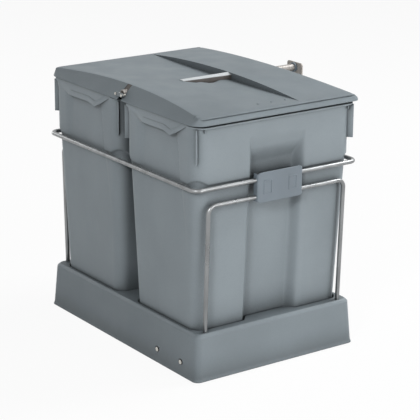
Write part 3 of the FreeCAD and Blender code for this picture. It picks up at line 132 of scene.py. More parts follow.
class Skin:
    """Points and faces of one piece."""

    def __init__(self):
        self.points = []
        self.faces = []
        self.count = 0

    def add(self, places, faces):
        self.points.append(np.asarray(places, dtype=float))
        self.faces += [[corner + self.count for corner in face] for face in faces]
        self.count += len(places)

    def grid(self, rows, closed=False, keep=None):
        """Faces between neighbouring rows of points. keep says which of them stay."""
        rows = np.asarray(rows, dtype=float)
        levels, across = rows.shape[:2]
        index = np.arange(levels * across).reshape(levels, across)
        right = np.roll(index, -1, axis=1)
        if not closed:
            index, right = index[:, :-1], right[:, :-1]
        quads = np.stack([index[:-1], right[:-1], right[1:], index[1:]], axis=-1)
        quads = quads[keep] if keep is not None else quads.reshape(-1, 4)
        self.add(rows.reshape(-1, 3), quads.tolist())

    def slab(self, origin, along, across, up, sizes, edge):
        """A small block with softened edges. sizes are its full lengths."""
        origin, along, across, up = (np.array(v, dtype=float) for v in (origin, along, across, up))
        places = plain_stations(1, 1, 2)
        half = [s / 2 for s in sizes]
        rows = []
        for level, inset in ((-half[2], half[0]), (-half[2], edge), (edge - half[2], 0.0),
                             (half[2] - edge, 0.0), (half[2], edge), (half[2], half[0])):
            inset_x = min(inset, half[0] - SLIVER)
            inset_y = min(inset, half[1] - SLIVER)
            radius = min(edge, half[0] - inset_x, half[1] - inset_y)
            flat = ring(places, half[0] - inset_x, half[1] - inset_y, radius, level)
            rows.append(origin + flat[:, :1] * along + flat[:, 1:2] * across + flat[:, 2:] * up)
        self.grid(rows, closed=True)

    def tube(self, path, radius, closed=False, sides=16):
        """A round wire along a path, with slightly domed ends."""
        path = np.asarray(path, dtype=float)
        if closed:
            ahead = np.roll(path, -1, axis=0) - np.roll(path, 1, axis=0)
        else:
            ahead = np.gradient(path, axis=0)
        ahead /= np.linalg.norm(ahead, axis=1)[:, None]
        side = np.cross(ahead[0], ASKEW)
        turn = np.linspace(0, 2 * math.pi, sides, endpoint=False)
        rows = []
        for point, direction in zip(path, ahead):
            side = side - direction * np.dot(side, direction)
            side /= np.linalg.norm(side)
            other = np.cross(direction, side)
            circle = np.cos(turn)[:, None] * side + np.sin(turn)[:, None] * other
            rows.append((point, direction, circle))
        skin = [point + circle * radius for point, _, circle in rows]
        if closed:
            skin.append(skin[0])
        else:
            for (point, direction, circle), sign in ((rows[0], -1), (rows[-1], 1)):
                dome = [point + direction * sign * radius * lift + circle * radius * wide
                        for lift, wide in WIRE_END]
                skin = dome[::-1] + skin if sign < 0 else skin + dome
        self.grid(skin, closed=True)

    def piece(self, name, body, slot, material, nodes=(), wall=0.0, sharp=35.0):
        """The finished object, which rides on a body and stands for the given nodes."""
        mesh = bpy.data.meshes.new(name)
        mesh.from_pydata((np.concatenate(self.points) * MM).tolist(), [], self.faces)
        work = bmesh.new()
        work.from_mesh(mesh)
        bmesh.ops.remove_doubles(work, verts=work.verts, dist=NEARNESS)
        bmesh.ops.recalc_face_normals(work, faces=work.faces)
        work.to_mesh(mesh)
        work.free()
        piece = bpy.data.objects.new(name, mesh)
        scene.collection.objects.link(piece)
        if wall:
            shell = piece.modifiers.new("wall", "SOLIDIFY")
            shell.thickness = wall * MM
            shell.offset = -1.0
            seen = piece.evaluated_get(bpy.context.evaluated_depsgraph_get())
            solid = bpy.data.meshes.new_from_object(seen)
            piece.modifiers.clear()
            piece.data = solid
        mesh = piece.data
        mesh.polygons.foreach_set("use_smooth", [True] * len(mesh.polygons))
        mesh.set_sharp_from_angle(angle=math.radians(sharp))
        mesh.materials.clear()
        mesh.materials.append(material)
        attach(piece, body)
        if nodes:
            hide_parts(*nodes)
        return piece


# Finishes -----------------------------------------------------------------

# Painted shade in folds: its reach, its rays, the share of the colour left at the deepest, and
# the open shares between which it runs.
FOLD_REACH, FOLD_RAYS, FOLD_LEFT = 55.0, 8, 0.30
FOLD_OPEN = (0.3, 0.95)


def fill(node, values):
    """Sets inputs of a node, given by name."""
    for socket, value in values.items():
        node.inputs[socket].default_value = value


class Finish:
    """A material of nodes round one principled shader."""

    def __init__(self, name, roughness, metallic=0.0):
        self.material = bpy.data.materials.new(name)
        self.material.use_nodes = True
        self.tree = self.material.node_tree
        self.shader = self.tree.nodes["Principled BSDF"]
        fill(self.shader, {"Metallic": metallic, "Roughness": roughness})
        self.place = self.tree.nodes.new("ShaderNodeTexCoord").outputs["Object"]

    def noise(self, scale, detail=3.0, stretch=(1.0, 1.0, 1.0)):
        scaled = self.tree.nodes.new("ShaderNodeMapping")
        fill(scaled, {"Scale": stretch})
        self.tree.links.new(self.place, scaled.inputs["Vector"])
        noise = self.tree.nodes.new("ShaderNodeTexNoise")
        fill(noise, {"Scale": scale, "Detail": detail})
        self.tree.links.new(scaled.outputs["Vector"], noise.inputs["Vector"])
        return noise.outputs["Fac"]

    def remap(self, value, low, high, start=0.3, end=0.7):
        node = self.tree.nodes.new("ShaderNodeMapRange")
        fill(node, {"From Min": start, "From Max": end, "To Min": low, "To Max": high})
        self.tree.links.new(value, node.inputs["Value"])
        return node.outputs["Result"]

    def mix(self, factor, first, second, kind="MIX"):
        node = self.tree.nodes.new("ShaderNodeMix")
        node.data_type = "RGBA"
        node.blend_type = kind
        for socket, value in (("Factor", factor), ("A", first), ("B", second)):
            inputs = [i for i in node.inputs if i.name == socket and i.enabled]
            if isinstance(value, bpy.types.NodeSocket):
                self.tree.links.new(value, inputs[0])
            else:
                inputs[0].default_value = value
        return [o for o in node.outputs if o.enabled][0]

    def bump(self, height, distance, strength, under=None):
        node = self.tree.nodes.new("ShaderNodeBump")
        fill(node, {"Distance": distance * MM, "Strength": strength})
        self.tree.links.new(height, node.inputs["Height"])
        if under is not None:
            self.tree.links.new(under, node.inputs["Normal"])
        return node.outputs["Normal"]

    def painted_fold_shade(self, colour):
        """The colour with painted shade: deeper in folds and corners, where light doesn't get."""
        node = self.tree.nodes.new("ShaderNodeAmbientOcclusion")
        node.samples = FOLD_RAYS
        fill(node, {"Distance": FOLD_REACH * MM})
        shade = self.remap(node.outputs["AO"], FOLD_LEFT, 1.0, *FOLD_OPEN)
        return self.mix(1.0, colour, shade, "MULTIPLY")

    def set(self, socket, value):
        self.tree.links.new(value, self.shader.inputs[socket])


def tone(red, green, blue, lift=1.0):
    """Linear colour of an 8-bit screen colour."""
    def linear(value):
        value = min(value * lift / 255.0, 1.0)
        return value / 12.92 if value <= 0.04045 else ((value + 0.055) / 1.055) ** 2.4
    return (linear(red), linear(green), linear(blue), 1.0)


def plastic(name, colour, roughness, grain, shine=0.3):
    """Moulded plastic: faint clouds in the colour, fine spark-eroded grain, soft sheen."""
    finish = Finish(name, roughness)
    pale = tone(*colour, lift=1.03)
    deep = tone(*colour, lift=0.97)
    clouds = finish.remap(finish.noise(7.0, detail=4.0), 0.0, 1.0)
    base = finish.mix(clouds, deep, pale)
    specks = finish.remap(finish.noise(420.0, detail=2.0), 0.0, 0.16, start=0.45, end=0.75)
    base = finish.mix(specks, base, tone(*colour, lift=0.88))
    # The colour gets painted shade in folds and corners.
    finish.set("Base Color", finish.painted_fold_shade(base))
    rubbed = finish.noise(26.0, detail=4.0, stretch=(1.0, 1.0, 0.35))
    finish.set("Roughness", finish.remap(rubbed, roughness - 0.05, roughness + 0.07))
    waves = finish.noise(16.0, detail=2.0, stretch=(1.0, 1.0, 0.45))
    waves = finish.bump(waves, distance=0.5, strength=0.10)
    grains = finish.noise(grain, detail=2.0)
    finish.set("Normal", finish.bump(grains, distance=0.12, strength=0.20, under=waves))
    fill(finish.shader, {"Specular IOR Level": shine})
    return finish.material


def metal(name, colour, roughness, streak, stretch=(1.0, 1.0, 1.0), spots=0.12, bare=1.0):
    """Bare or plated steel: drawn or rolled streaks, cloudy sheen and small dull spots."""
    finish = Finish(name, roughness, bare)
    lines = finish.noise(streak, detail=4.0, stretch=stretch)
    base = finish.mix(finish.remap(lines, 0.0, 1.0), tone(*colour, lift=0.9),
                      tone(*colour, lift=1.06))
    dull = finish.remap(finish.noise(90.0, detail=5.0), 0.0, spots, start=0.5, end=0.75)
    finish.set("Base Color", finish.mix(dull, base, tone(*colour, lift=0.55)))
    sheen = finish.noise(34.0, detail=4.0, stretch=stretch)
    finish.set("Roughness", finish.remap(sheen, roughness - 0.07, roughness + 0.10))
    finish.set("Normal", finish.bump(lines, distance=0.05, strength=0.25))
    return finish.material


def powder_coat(name, colour, roughness):
    """Powder-coated sheet, with an orange-peel skin."""
    finish = Finish(name, roughness)
    clouds = finish.remap(finish.noise(12.0, detail=3.0), 0.0, 1.0)
    finish.set("Base Color", finish.mix(clouds, tone(*colour, lift=0.97),
                                        tone(*colour, lift=1.03)))
    sheen = finish.noise(60.0, detail=3.0)
    finish.set("Roughness", finish.remap(sheen, roughness - 0.05, roughness + 0.06))
    peel = finish.noise(650.0, detail=1.5)
    finish.set("Normal", finish.bump(peel, distance=0.10, strength=0.30))
    return finish.material


BIN = plastic("bin_grey", (136, 145, 150), roughness=0.50, grain=1500.0)
TRAY = plastic("tray_grey", (123, 132, 137), roughness=0.50, grain=1300.0)
LID = plastic("lid_grey", (128, 137, 142), roughness=0.50, grain=1700.0, shine=0.12)
# Painted highlight: a pale copy of the lid plastic along the housing's top.
HIGHLIGHT_STRIP = plastic("grip_painted_highlight", (214, 219, 221), roughness=0.35, grain=1700.0)
# Painted shade: a darker copy of the lid plastic on the housing's front face.
SHADED_FACE = plastic("grip_face_painted_shade", (137, 131, 127), roughness=0.45, grain=1700.0)
# Painted shade: a dark sheet in the lid's slot.
SLOT_SHADE = plastic("slot_painted_shade", (84, 80, 77), roughness=0.55, grain=1700.0)
CLIP = plastic("clip_grey", (120, 128, 132), roughness=0.40, grain=1500.0)
COAT = powder_coat("bracket_grey", (109, 119, 127), roughness=0.42)
PLATE = powder_coat("plate_grey", (170, 163, 156), roughness=0.45)
WIRE = metal("drawn_wire", (138, 140, 141), roughness=0.30, streak=60.0,
             stretch=(1.0, 1.0, 0.3), spots=0.0, bare=0.85)
BAR = metal("bar_tube", (150, 146, 142), roughness=0.42, streak=120.0,
            stretch=(0.08, 1.0, 1.0), spots=0.0, bare=0.4)
ROLLED = metal("rolled_sheet", (158, 163, 167), roughness=0.34, streak=140.0,
               stretch=(1.0, 0.06, 1.0))
CAGE = metal("cage_sheet", (150, 150, 146), roughness=0.40, streak=160.0,
             stretch=(1.0, 0.1, 1.0))
BALLS = metal("bearing_balls", (190, 192, 195), roughness=0.12, streak=900.0, spots=0.05)
FASTENER = metal("plated_fastener", (188, 186, 180), roughness=0.27, streak=700.0, spots=0.2)
SLOT_FINISHES = {
    "bin_plastic": BIN, "tray_plastic": TRAY, "lid_plastic": LID, "wire_steel": WIRE,
    "bracket_steel": COAT, "bar_steel": BAR, "clip_plastic": CLIP, "runner_steel": ROLLED,
    "cage_steel": CAGE, "ball_steel": BALLS, "fastener_steel": FASTENER,
}
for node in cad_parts.values():
    for part in node.material_slots:
        part.material = SLOT_FINISHES[part.name.split(".")[0]]
# The wall plate is coated, unlike the bar that ends in it.
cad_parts["wall_plate"].material_slots[0].material = PLATE


# Bins ---------------------------------------------------------------------

BIN_MIDDLES = {"front_bin": -120.5, "rear_bin": 120.5}
BIN_WALL = 2.5
BIN_FLOOR = 52.0
TAPER_HEIGHT = 296.0
# Half sizes and corner radius at the floor, and what the taper adds to each.
BIN_HALF_X, GAIN_X = 156.8, 10.2
BIN_HALF_Y, GAIN_Y = 92.7, 15.8
BIN_RADIUS, GAIN_RADIUS = 20.0, 5.0
FOOT_ROUND = 5.0
# Half lengths of the straight walls at the top, and of the stretch that stays upright.
BIN_REACH = (144.5, 86.0)
UPRIGHT = (80.0, 60.0)
# The collar's reach, the heights where it starts and is full, and its rise at the corners.
COLLAR_OUT = 2.5
COLLAR_START, COLLAR_FULL, COLLAR_RISE = 346.5, 351.5, 9.0
# The sunk panel of a side wall: its slanting front edge, its soft back end, the heights where
# it fades out under the rim, and its sinks as (depth, start, end).
PANEL_FRONT, PANEL_SLANT, PANEL_TOP, PANEL_EDGE = -54.5, 0.1216, 427.0, 0.9
PANEL_BACK = (71.0, 49.0)
PANEL_FADE = (449.0, 441.0)
PANEL_SINKS = ((1.0, 215.0, 330.0), (2.4, 355.0, 430.0))
# The channel of the front wall: where its left flank starts and how wide it is, its right
# flank, the stages as (share, start, end) in which it deepens, and the low ridge beside it.
CHANNEL_LEFT, CHANNEL_FLANK = -57.0, 14.0
CHANNEL_RIGHT = (62.0, 45.0)
CHANNEL_DEPTH = 17.0
CHANNEL_STAGES = ((0.3, 424.0, 392.0), (0.7, 402.0, 370.0))
RIDGE_OUT, RIDGE_X, RIDGE_WIDTH = 0.9, 66.0, 5.0
# A station is on a wall where its way out points this much along an axis.
ON_WALL = 0.9
BIN_PLACES = stations(even(144), even(86), even(72), even(86), 14)
OUTER_LEVELS = spread((BIN_FLOOR, 5), (BIN_FLOOR + FOOT_ROUND, 2), (64.0, 44), (330.0, 6),
                      (342.0, 26), (368.0, 18), (421.0, 4), (432.0, 1))
INNER_LEVELS = spread((451.0, 3), (421.0, 12), (367.0, 8), (342.0, 8), (64.0, 2),
                      (BIN_FLOOR + BIN_WALL, 1))


def channel_profile(x):
    """Share of the front channel's depth across the wall, from 0 to 1."""
    left = np.clip((x - CHANNEL_LEFT) / CHANNEL_FLANK, 0.0, 1.0)
    return np.minimum(left, smooth(x, *CHANNEL_RIGHT))


def bin_wall_rows(levels, inset):
    """Rows of points round a bin, with its channel, side panels and collar."""
    z = np.asarray(levels, dtype=float)[:, None]
    part_x, part_y, out_x, out_y = (BIN_PLACES[:, i][None, :] for i in range(4))
    taper = np.clip((z - BIN_FLOOR) / TAPER_HEIGHT, 0.0, 1.0)
    rise = COLLAR_RISE * 2.0 * np.abs(out_x * out_y)
    collar = COLLAR_OUT * smooth(z, COLLAR_START + rise, COLLAR_FULL + rise)
    below = np.clip(BIN_FLOOR + FOOT_ROUND - z, 0.0, FOOT_ROUND)
    foot = FOOT_ROUND - np.sqrt(FOOT_ROUND ** 2 - below ** 2)
    half_x = BIN_HALF_X + GAIN_X * taper + collar - inset - foot
    half_y = BIN_HALF_Y + GAIN_Y * taper + collar - inset - foot
    radius = BIN_RADIUS + GAIN_RADIUS * taper - inset
    # Columns stand upright over the middle of a wall and lean only near its ends.
    straight = []
    for part, half, reach, start in zip((part_x, part_y), (half_x, half_y), BIN_REACH, UPRIGHT):
        upright = part * reach
        lean = np.clip((np.abs(upright) - start) / (reach - start), 0.0, 1.0)
        straight.append(upright - np.sign(part) * (reach - (half - radius)) * lean)
    x = straight[0] + out_x * radius
    y = straight[1] + out_y * radius
    front_edge = PANEL_FRONT - PANEL_SLANT * (PANEL_TOP - z)
    panel = smooth(y, front_edge - PANEL_EDGE, front_edge + PANEL_EDGE) * smooth(y, *PANEL_BACK)
    panel = panel * (np.abs(out_x) > ON_WALL) * smooth(z, *PANEL_FADE)
    grown = staged(z, CHANNEL_STAGES)
    channel = CHANNEL_DEPTH * np.minimum(channel_profile(x), grown)
    ridge = RIDGE_OUT * bell(x, RIDGE_X, RIDGE_WIDTH) * grown
    dent = panel * (collar + staged(z, PANEL_SINKS)) + (channel - ridge) * (out_y < -ON_WALL)
    x = x - out_x * dent
    y = y - out_y * dent
    return points(x, y, z)


# The rim up its outside and over its top: heights, and the reach beyond the wall.
RIM_PROFILE = ((436.0, 0.0), (440.0, 0.0), (444.0, 0.0), (446.6, 0.1), (447.7, 0.5),
               (448.1, 1.4), (448.5, 3.4), (449.2, 4.0), (451.0, 4.0), (451.7, 3.7),
               (452.0, 3.0), (452.0, -1.6), (451.7, -2.2))
RIM_OUT, RIM_UNDER, RIM_TOP = 4.0, 448.5, 452.0
# The side walls flare out under the rim, which lies a little higher there.
FLARE_OUT, FLARE_LEVELS = 3.4, (432.0, 450.0)
SIDE_LIFT, LIFT_LEVELS = 2.2, (442.0, 450.0)
# The rim stands back for an apron, between its front and back end.
APRON_ROOM = 2.2
ROOM_FRONT, ROOM_BACK = (-90.0, -84.0), (103.0, 97.0)
# The rim's right corners reach further out.
CORNER_OUT, CORNER_LEVELS = 5.0, (446.0, 449.0)


def side_flare(z):
    return FLARE_OUT * smooth(z, *FLARE_LEVELS)


def bin_rim_rows():
    """Rows of points up the rim, which stands out less where an apron hangs from it."""
    edge = bin_wall_rows([RIM_TOP], 0.0)[0]
    out_x, out_y = BIN_PLACES[:, 2], BIN_PLACES[:, 3]
    right_corner = 2.0 * np.abs(out_x * out_y) * (out_x > 0.0)
    under_apron = smooth(edge[:, 1], *ROOM_FRONT) * smooth(edge[:, 1], *ROOM_BACK)
    under_apron = under_apron * (np.abs(out_x) > ON_WALL)
    rows = []
    for z, front in RIM_PROFILE:
        beside = np.minimum(side_flare(z), RIM_OUT) if z < RIM_UNDER else front
        out = front + (beside - front) * out_x ** 2
        out = np.minimum(out, RIM_OUT - APRON_ROOM * under_apron)
        out = out + CORNER_OUT * right_corner * smooth(z, *CORNER_LEVELS)
        row = bin_wall_rows([z], 0.0)[0]
        row[:, 0] += out_x * out
        row[:, 1] += out_y * out
        row[:, 2] = z + SIDE_LIFT * out_x ** 4 * smooth(z, *LIFT_LEVELS)
        rows.append(row)
    return rows


def add_shell(skin, middle):
    """A bin's floor, walls, rim and inside."""
    rows = list(bin_wall_rows(OUTER_LEVELS, 0.0)) + bin_rim_rows()
    rows += list(bin_wall_rows(INNER_LEVELS, BIN_WALL))
    rows += [rows[-1] * (share, share, 1.0) for share in (0.6, 0.0)]
    rows = [rows[0] * (share, share, 1.0) for share in (0.0, 0.6, 0.97)] + rows
    skin.grid(np.array(rows) + (0.0, middle, 0.0), closed=True)


# A side apron's lower edge from back to front, as (minus y, height), and its ends and top.
APRON_EDGE = ((-99.0, 452.0), (-58.0, 428.6), (-53.0, 430.6), (-40.0, 432.5), (22.0, 433.2),
              (36.0, 430.6), (44.4, 428.8), (60.0, 436.0), (84.0, 450.2), (90.0, 451.6))
APRON_BACK, APRON_FRONT, APRON_TOP = 98.0, -88.0, 453.9
# Shares of its drop where an apron has points.
APRON_SHARES = (0.0, 0.06, 0.25, 0.5, 0.75, 0.92, 1.0)
# The wall under the apron, the apron's own place at its top, and its lean out below that.
WALL_X, APRON_X, APRON_LEAN = 169.5, 171.3, 0.26
# The crease towards the back: its foot as (y, z), its run and length, and how soft it is.
CREASE_Y, CREASE_Z = 58.0, 428.6
CREASE_RUN_Y, CREASE_RUN_Z, CREASE_LENGTH = 39.0, 22.0, 44.8
CREASE_SOFT = 13.0
# The top tucks in under the rim, and the hem turns in at the edge: steps inwards and up.
TUCK = (3.0, 0.25)
HEM = ((0.5, -0.5), (1.3, -0.2), (1.6, 9.0))
HEM_TOP = 453.7


def apron_line(y):
    """Height of a side apron's lower edge, rounded at its corners."""
    line = np.interp(-y, *zip(*APRON_EDGE))
    kernel = np.array([1.0, 2.0, 3.0, 2.0, 1.0]) / 9.0
    return np.convolve(np.pad(line, 2, mode="edge"), kernel, mode="valid")


def add_aprons(skin, middle):
    """The sheets that hang from the rim over both side walls."""
    y = np.linspace(APRON_BACK, APRON_FRONT, 187)
    low = apron_line(y)
    sheet = []
    for share in APRON_SHARES:
        z = APRON_TOP + (low - APRON_TOP) * share
        beyond = (z - CREASE_Z) * CREASE_RUN_Y - (y - CREASE_Y) * CREASE_RUN_Z
        loose = smooth(beyond / CREASE_LENGTH, 0.0, CREASE_SOFT)
        hung = APRON_X + APRON_LEAN * (APRON_TOP - z)
        wall = WALL_X + side_flare(z)
        sheet.append((wall + (hung - wall) * loose, z))
    top_x, top_z = sheet[0]
    last_x, last_z = sheet[-1]
    sheet = [(top_x - TUCK[0], top_z + TUCK[1])] + sheet
    sheet += [(last_x - inwards, np.minimum(last_z + up, HEM_TOP)) for inwards, up in HEM]
    for side in (-1.0, 1.0):
        skin.grid([points(side * x, y + middle, z) for x, z in sheet])


# Fins at a bin's corners, wider on the right.
FIN_AWAY, FIN_Z, FIN_MORE = 28.6, 418.5, 1.2
FIN_WIDTH, FIN_THICKNESS, FIN_HEIGHT, FIN_EDGE = 10.0, 2.6, 61.0, 0.5
# Small gussets under the front rim.
GUSSETS_X, GUSSET_Y, GUSSET_Z = (-152.7, 155.8), -111.9, 445.2
GUSSET_SIZE, GUSSET_EDGE = (1.8, 3.2, 6.4), 0.4


def add_fins(skin, middle):
    diagonal = 1.0 / math.sqrt(2.0)
    for sign_x in (-1, 1):
        for sign_y in (-1, 1):
            out = np.array([sign_x * diagonal, sign_y * diagonal, 0.0])
            corner = np.array([sign_x * BIN_REACH[0], sign_y * BIN_REACH[1] + middle, FIN_Z])
            more = FIN_MORE * (sign_x > 0)
            skin.slab(corner + out * (FIN_AWAY + more), out, (-out[1], out[0], 0.0), UP,
                      (FIN_WIDTH + 2.0 * more, FIN_THICKNESS, FIN_HEIGHT), FIN_EDGE)


def add_gussets(skin, middle):
    for x in GUSSETS_X:
        skin.slab((x, middle + GUSSET_Y, GUSSET_Z), ACROSS, ALONG, UP, GUSSET_SIZE, GUSSET_EDGE)


def make_bin(name, middle):
    skin = Skin()
    add_shell(skin, middle)
    add_aprons(skin, middle)
    add_fins(skin, middle)
    add_gussets(skin, middle)
    skin.piece(name + "_moulding", "carriage", "bin_plastic", BIN, [name], sharp=50.0)


for name, middle in BIN_MIDDLES.items():
    make_bin(name, middle)


# Tray ---------------------------------------------------------------------

TRAY_WALL = 2.6
TRAY_HALF_X, TRAY_HALF_Y, TRAY_RADIUS = 170.27, 238.8, 12.0
TRAY_STRAIGHT = 231.2
# The skirt's rolled foot, its leaning middle and its shoulder: heights, and the reach beyond
# the half size. The corner radius follows half of an inset.
SKIRT_FOOT = ((1.5, 4.6), (1.5, 5.8), (1.9, 6.15), (3.2, 6.0), (5.0, 5.3), (7.0, 4.8),
              (10.0, 4.5))
SKIRT_LOW, SKIRT_HIGH, SKIRT_OUT = 14.0, 79.0, 4.25
SKIRT_SHOULDER = ((80.4, -0.15), (81.4, -0.6), (84.9, -3.9), (85.7, -4.8), (86.0, -5.6),
                  (86.0, -6.2))
SKIRT_FOLLOW = 0.5
# Recesses in the skirt's sides, where the screws into the runners sit.
SCREWS_Y, SCREWS_Z = (-193.0, -120.0), 25.0
RECESS_DEPTH, RECESS_EDGE = 2.0, (6.2, 5.0)
# The opening for the runners in the skirt's back: its top, and its reach into the corners.
OPENING_TOP, OPENING_TURN = 50.0, 0.6
# The wells: half sizes, corner radius, and the way down from the ledge as heights and reaches.
WELL_HALF_X, WELL_HALF_Y, WELL_RADIUS = 158.97, 98.0, 22.0
WELL_PROFILE = ((86.0, 2.2), (86.0, 1.6), (85.7, 0.8), (85.0, 0.25), (83.6, 0.0), (70.0, -0.6),
                (56.0, -1.3), (53.2, -2.4), (BIN_FLOOR, -5.0), (BIN_FLOOR, -9.0))
WELL_FOLLOW = 0.3
# The wall of a well follows the bin's channel, a little less deep and less wide.
WELL_CHANNEL, CHANNEL_SQUEEZE = 16.0, 1.03
WELL_PLACES = stations(even(92), even(20), even(20), even(20), 10)


def skirt_profile():
    lean = spread((SKIRT_LOW, 3), (17.0, 16), (33.0, 3), (OPENING_TOP, 4), (SKIRT_HIGH, 1))
    height = SKIRT_HIGH - SKIRT_LOW
    middle = [(z, SKIRT_OUT - SKIRT_OUT * (z - SKIRT_LOW) / height) for z in lean]
    return list(SKIRT_FOOT) + middle + list(SKIRT_SHOULDER)


def add_skirt(skin):
    """The tray's outer wall with its recesses. Gives back its top edge."""
    near_screws = [y + step for y in SCREWS_Y for step in range(-8, 9)]
    side = np.unique(np.concatenate([even(46), np.array(near_screws) / TRAY_STRAIGHT]))
    places = stations(even(40), side, even(40), -side[::-1], 8)
    profile = skirt_profile()
    rows = []
    for z, out in profile:
        radius = TRAY_RADIUS + min(out, 0.0) * SKIRT_FOLLOW
        row = ring(places, TRAY_HALF_X + out, TRAY_HALF_Y + out, radius, z)
        for screw in SCREWS_Y:
            away = np.hypot(row[:, 1] - screw, z - SCREWS_Z)
            dent = RECESS_DEPTH * smooth(away, *RECESS_EDGE)
            row[:, 0] -= places[:, 2] * dent * (np.abs(places[:, 2]) > ON_WALL)
        rows.append(row)
    at_back = (places[:, 1] > 0.99) & (np.abs(places[:, 2]) < OPENING_TURN)
    open_cells = at_back & np.roll(at_back, -1)
    upper = np.array([z for z, _ in profile[1:]])
    skin.grid(rows, closed=True, keep=~(open_cells[None, :] & (upper[:, None] <= OPENING_TOP)))
    return rows[-1]


def add_well(skin, middle):
    """The well that a bin stands in. Gives back its top edge."""
    well = []
    for z, out in WELL_PROFILE:
        radius = WELL_RADIUS + min(out, 0.0) * WELL_FOLLOW
        row = ring(WELL_PLACES, WELL_HALF_X + out, WELL_HALF_Y + out, radius, z, (0.0, middle))
        lip = WELL_CHANNEL * channel_profile(row[:, 0] * CHANNEL_SQUEEZE)
        row[:, 1] += lip * (WELL_PLACES[:, 3] < -ON_WALL)
        well.append(row)
    centre = np.array([0.0, middle, BIN_FLOOR])
    well += [centre + (well[-1] - centre) * share for share in (0.5, 0.0)]
    skin.grid(well, closed=True)
    return well[0]


def make_tray():
    skin = Skin()
    edges = [add_skirt(skin)] + [add_well(skin, middle) for middle in BIN_MIDDLES.values()]
    # The flat ledge lies between the skirt's top edge and the edges of the wells.
    loops = [[Vector(point) for point in edge] for edge in edges]
    skin.add(np.concatenate(edges), [list(face) for face in tessellate_polygon(loops)])
    skin.piece("tray_moulding", "carriage", "tray_plastic", TRAY, ["tray"], wall=TRAY_WALL,
               sharp=38.0)


make_tray()


# Lid ----------------------------------------------------------------------

LID_WALL = 2.4
LID_CROWN, ARCH_RADIUS = 481.5, 2145.0
LID_END = 239.0
LID_EDGE = 455.5
# Foot of the sloped bands and lips, just above the lid's edge.
BAND_FOOT = 457.2
# Half width, corner radius and steepness of the side band.
LEFT_EDGE = (175.0, 24.0, 1.02)
RIGHT_EDGE = (179.0, 11.0, 0.87)
LIP_SLOPE = 3.42
# Angles round a corner between which the side band's steepness becomes the lip's.
BAND_TO_LIP = (-0.1, 0.9)
# The step between the low side on the left and the high side, and the height at its foot.
STEP_X, STEP_FOOT = 50.0, 469.5
# The slot for the bar: its front and back, its inner end, and that of the notch on the right.
SLOT_FRONT, SLOT_BACK, SLOT_END, NOTCH_END = -9.8, 3.8, -151.0, 160.0
# The bar, and the radius that the lid keeps free round it.
BAR_Y, BAR_Z, BAR_ROOM = -3.0, 467.0, 7.5
# The housing over the bar: its left end, where its slant fades out on the high side, its front
# and back there and what the slant adds, its crest, and the crest's rise along and across it.
HOUSING_LEFT, HOUSING_FADE = -46.0, 95.0
HOUSING_FRONT, FRONT_SLANT = -14.0, 14.0
HOUSING_BACK, BACK_SLANT = -2.0, 16.0
CREST, CREST_ALONG, CREST_ACROSS = 475.6, 2.4, 2.6
FACE_AHEAD, BACK_RUN = 0.1, 9.0
# The finger scoop in front of the housing, as (share of its length, depth), and its run out.
SCOOP = ((0.0, 0.0), (0.05, 1.0), (0.17, 5.7), (0.29, 4.4), (0.4, 8.9), (0.5, 7.9),
         (0.59, 6.7), (0.72, 1.2), (0.8, 0.0))
SCOOP_RUN, SCOOP_GAP = 2.6, 0.5
# The mesh lines between these places are moved to lie along the housing.
WARP_FRONT, WARP_BACK = -60.0, 38.0


def arch(y):
    return LID_CROWN - (ARCH_RADIUS - np.sqrt(ARCH_RADIUS ** 2 - y * y))


def grip(x):
    """The bar's raised housing: how far along it lies, and its front and back edges."""
    along = np.clip((x - HOUSING_LEFT) / (STEP_X - HOUSING_LEFT), 0.0, 1.0)
    share = np.where(x <= STEP_X, along, smooth(x, HOUSING_FADE, STEP_X))
    return share, HOUSING_FRONT - FRONT_SLANT * share, HOUSING_BACK - BACK_SLANT * share


def scoop_depth(share):
    """Depth of the finger scoop in front of the housing."""
    return np.interp(share, *zip(*SCOOP))


def ruled_top(x, y):
    """The lid's top on the low side of its step."""
    high = arch(y)
    fallen = np.clip((x - SLOT_END) / (STEP_X - SLOT_END), 0.0, 1.0)
    return np.minimum(high, high + (STEP_FOOT - high) * fallen)


def lip_slope(angle, slope):
    """Steepness of the lid's edge round a corner, from the side band to the lip."""
    return slope + (LIP_SLOPE - slope) * smooth(angle, *BAND_TO_LIP)


def edge_height(x, y):
    """Height of the sloped bands at the sides and the steep lips at the front and back."""
    reach, radius, slope = (np.where(x > 0.0, *pair) for pair in zip(RIGHT_EDGE, LEFT_EDGE))
    beyond_x, beyond_y = np.abs(x) - (reach - radius), np.abs(y) - (LID_END - radius)
    at_corner = (beyond_x > 0) & (beyond_y > 0)
    angle = np.arctan2(np.maximum(beyond_y, 0.0), np.maximum(beyond_x, 1e-6))
    inside = radius - np.hypot(beyond_x, beyond_y)
    round_edge = BAND_FOOT + lip_slope(angle, slope) * inside
    straight = soft_min(BAND_FOOT + slope * (reach - np.abs(x)),
                        BAND_FOOT + LIP_SLOPE * (LID_END - np.abs(y)), 2.0)
    return np.where(at_corner, np.minimum(round_edge, straight), straight)


def lid_height(x, y, raised):
    """Outer height of the lid. raised marks points on the high side of the step."""
    top = np.where(raised, arch(y), ruled_top(x, y))
    beside = ~raised & (x > HOUSING_LEFT - 1.0)
    share, front, back = grip(x)
    face = front - FACE_AHEAD
    rise = CREST_ACROSS * share * np.clip((y - front) / (back - front), 0.0, 1.0)
    crest = CREST + CREST_ALONG * share + rise
    housing = crest + (top - crest) * np.clip((y - back) / BACK_RUN, 0.0, 1.0)
    surface = np.where(beside & (y > face), np.maximum(top, housing), top)
    from_bar = y - BAR_Y
    over_bar = BAR_Z + np.sqrt(np.maximum(BAR_ROOM ** 2 - from_bar ** 2, 0.0))
    surface = np.where(beside & (np.abs(from_bar) < BAR_ROOM), np.maximum(surface, over_bar),
                       surface)
    depth = scoop_depth(share)
    line = front - SCOOP_RUN * depth - SCOOP_GAP
    scooped = beside & (y > line) & (y <= face)
    surface = np.where(scooped, top - depth * (y - line) / (front - line), surface)
    return soft_min(surface, edge_height(x, y), 1.6)


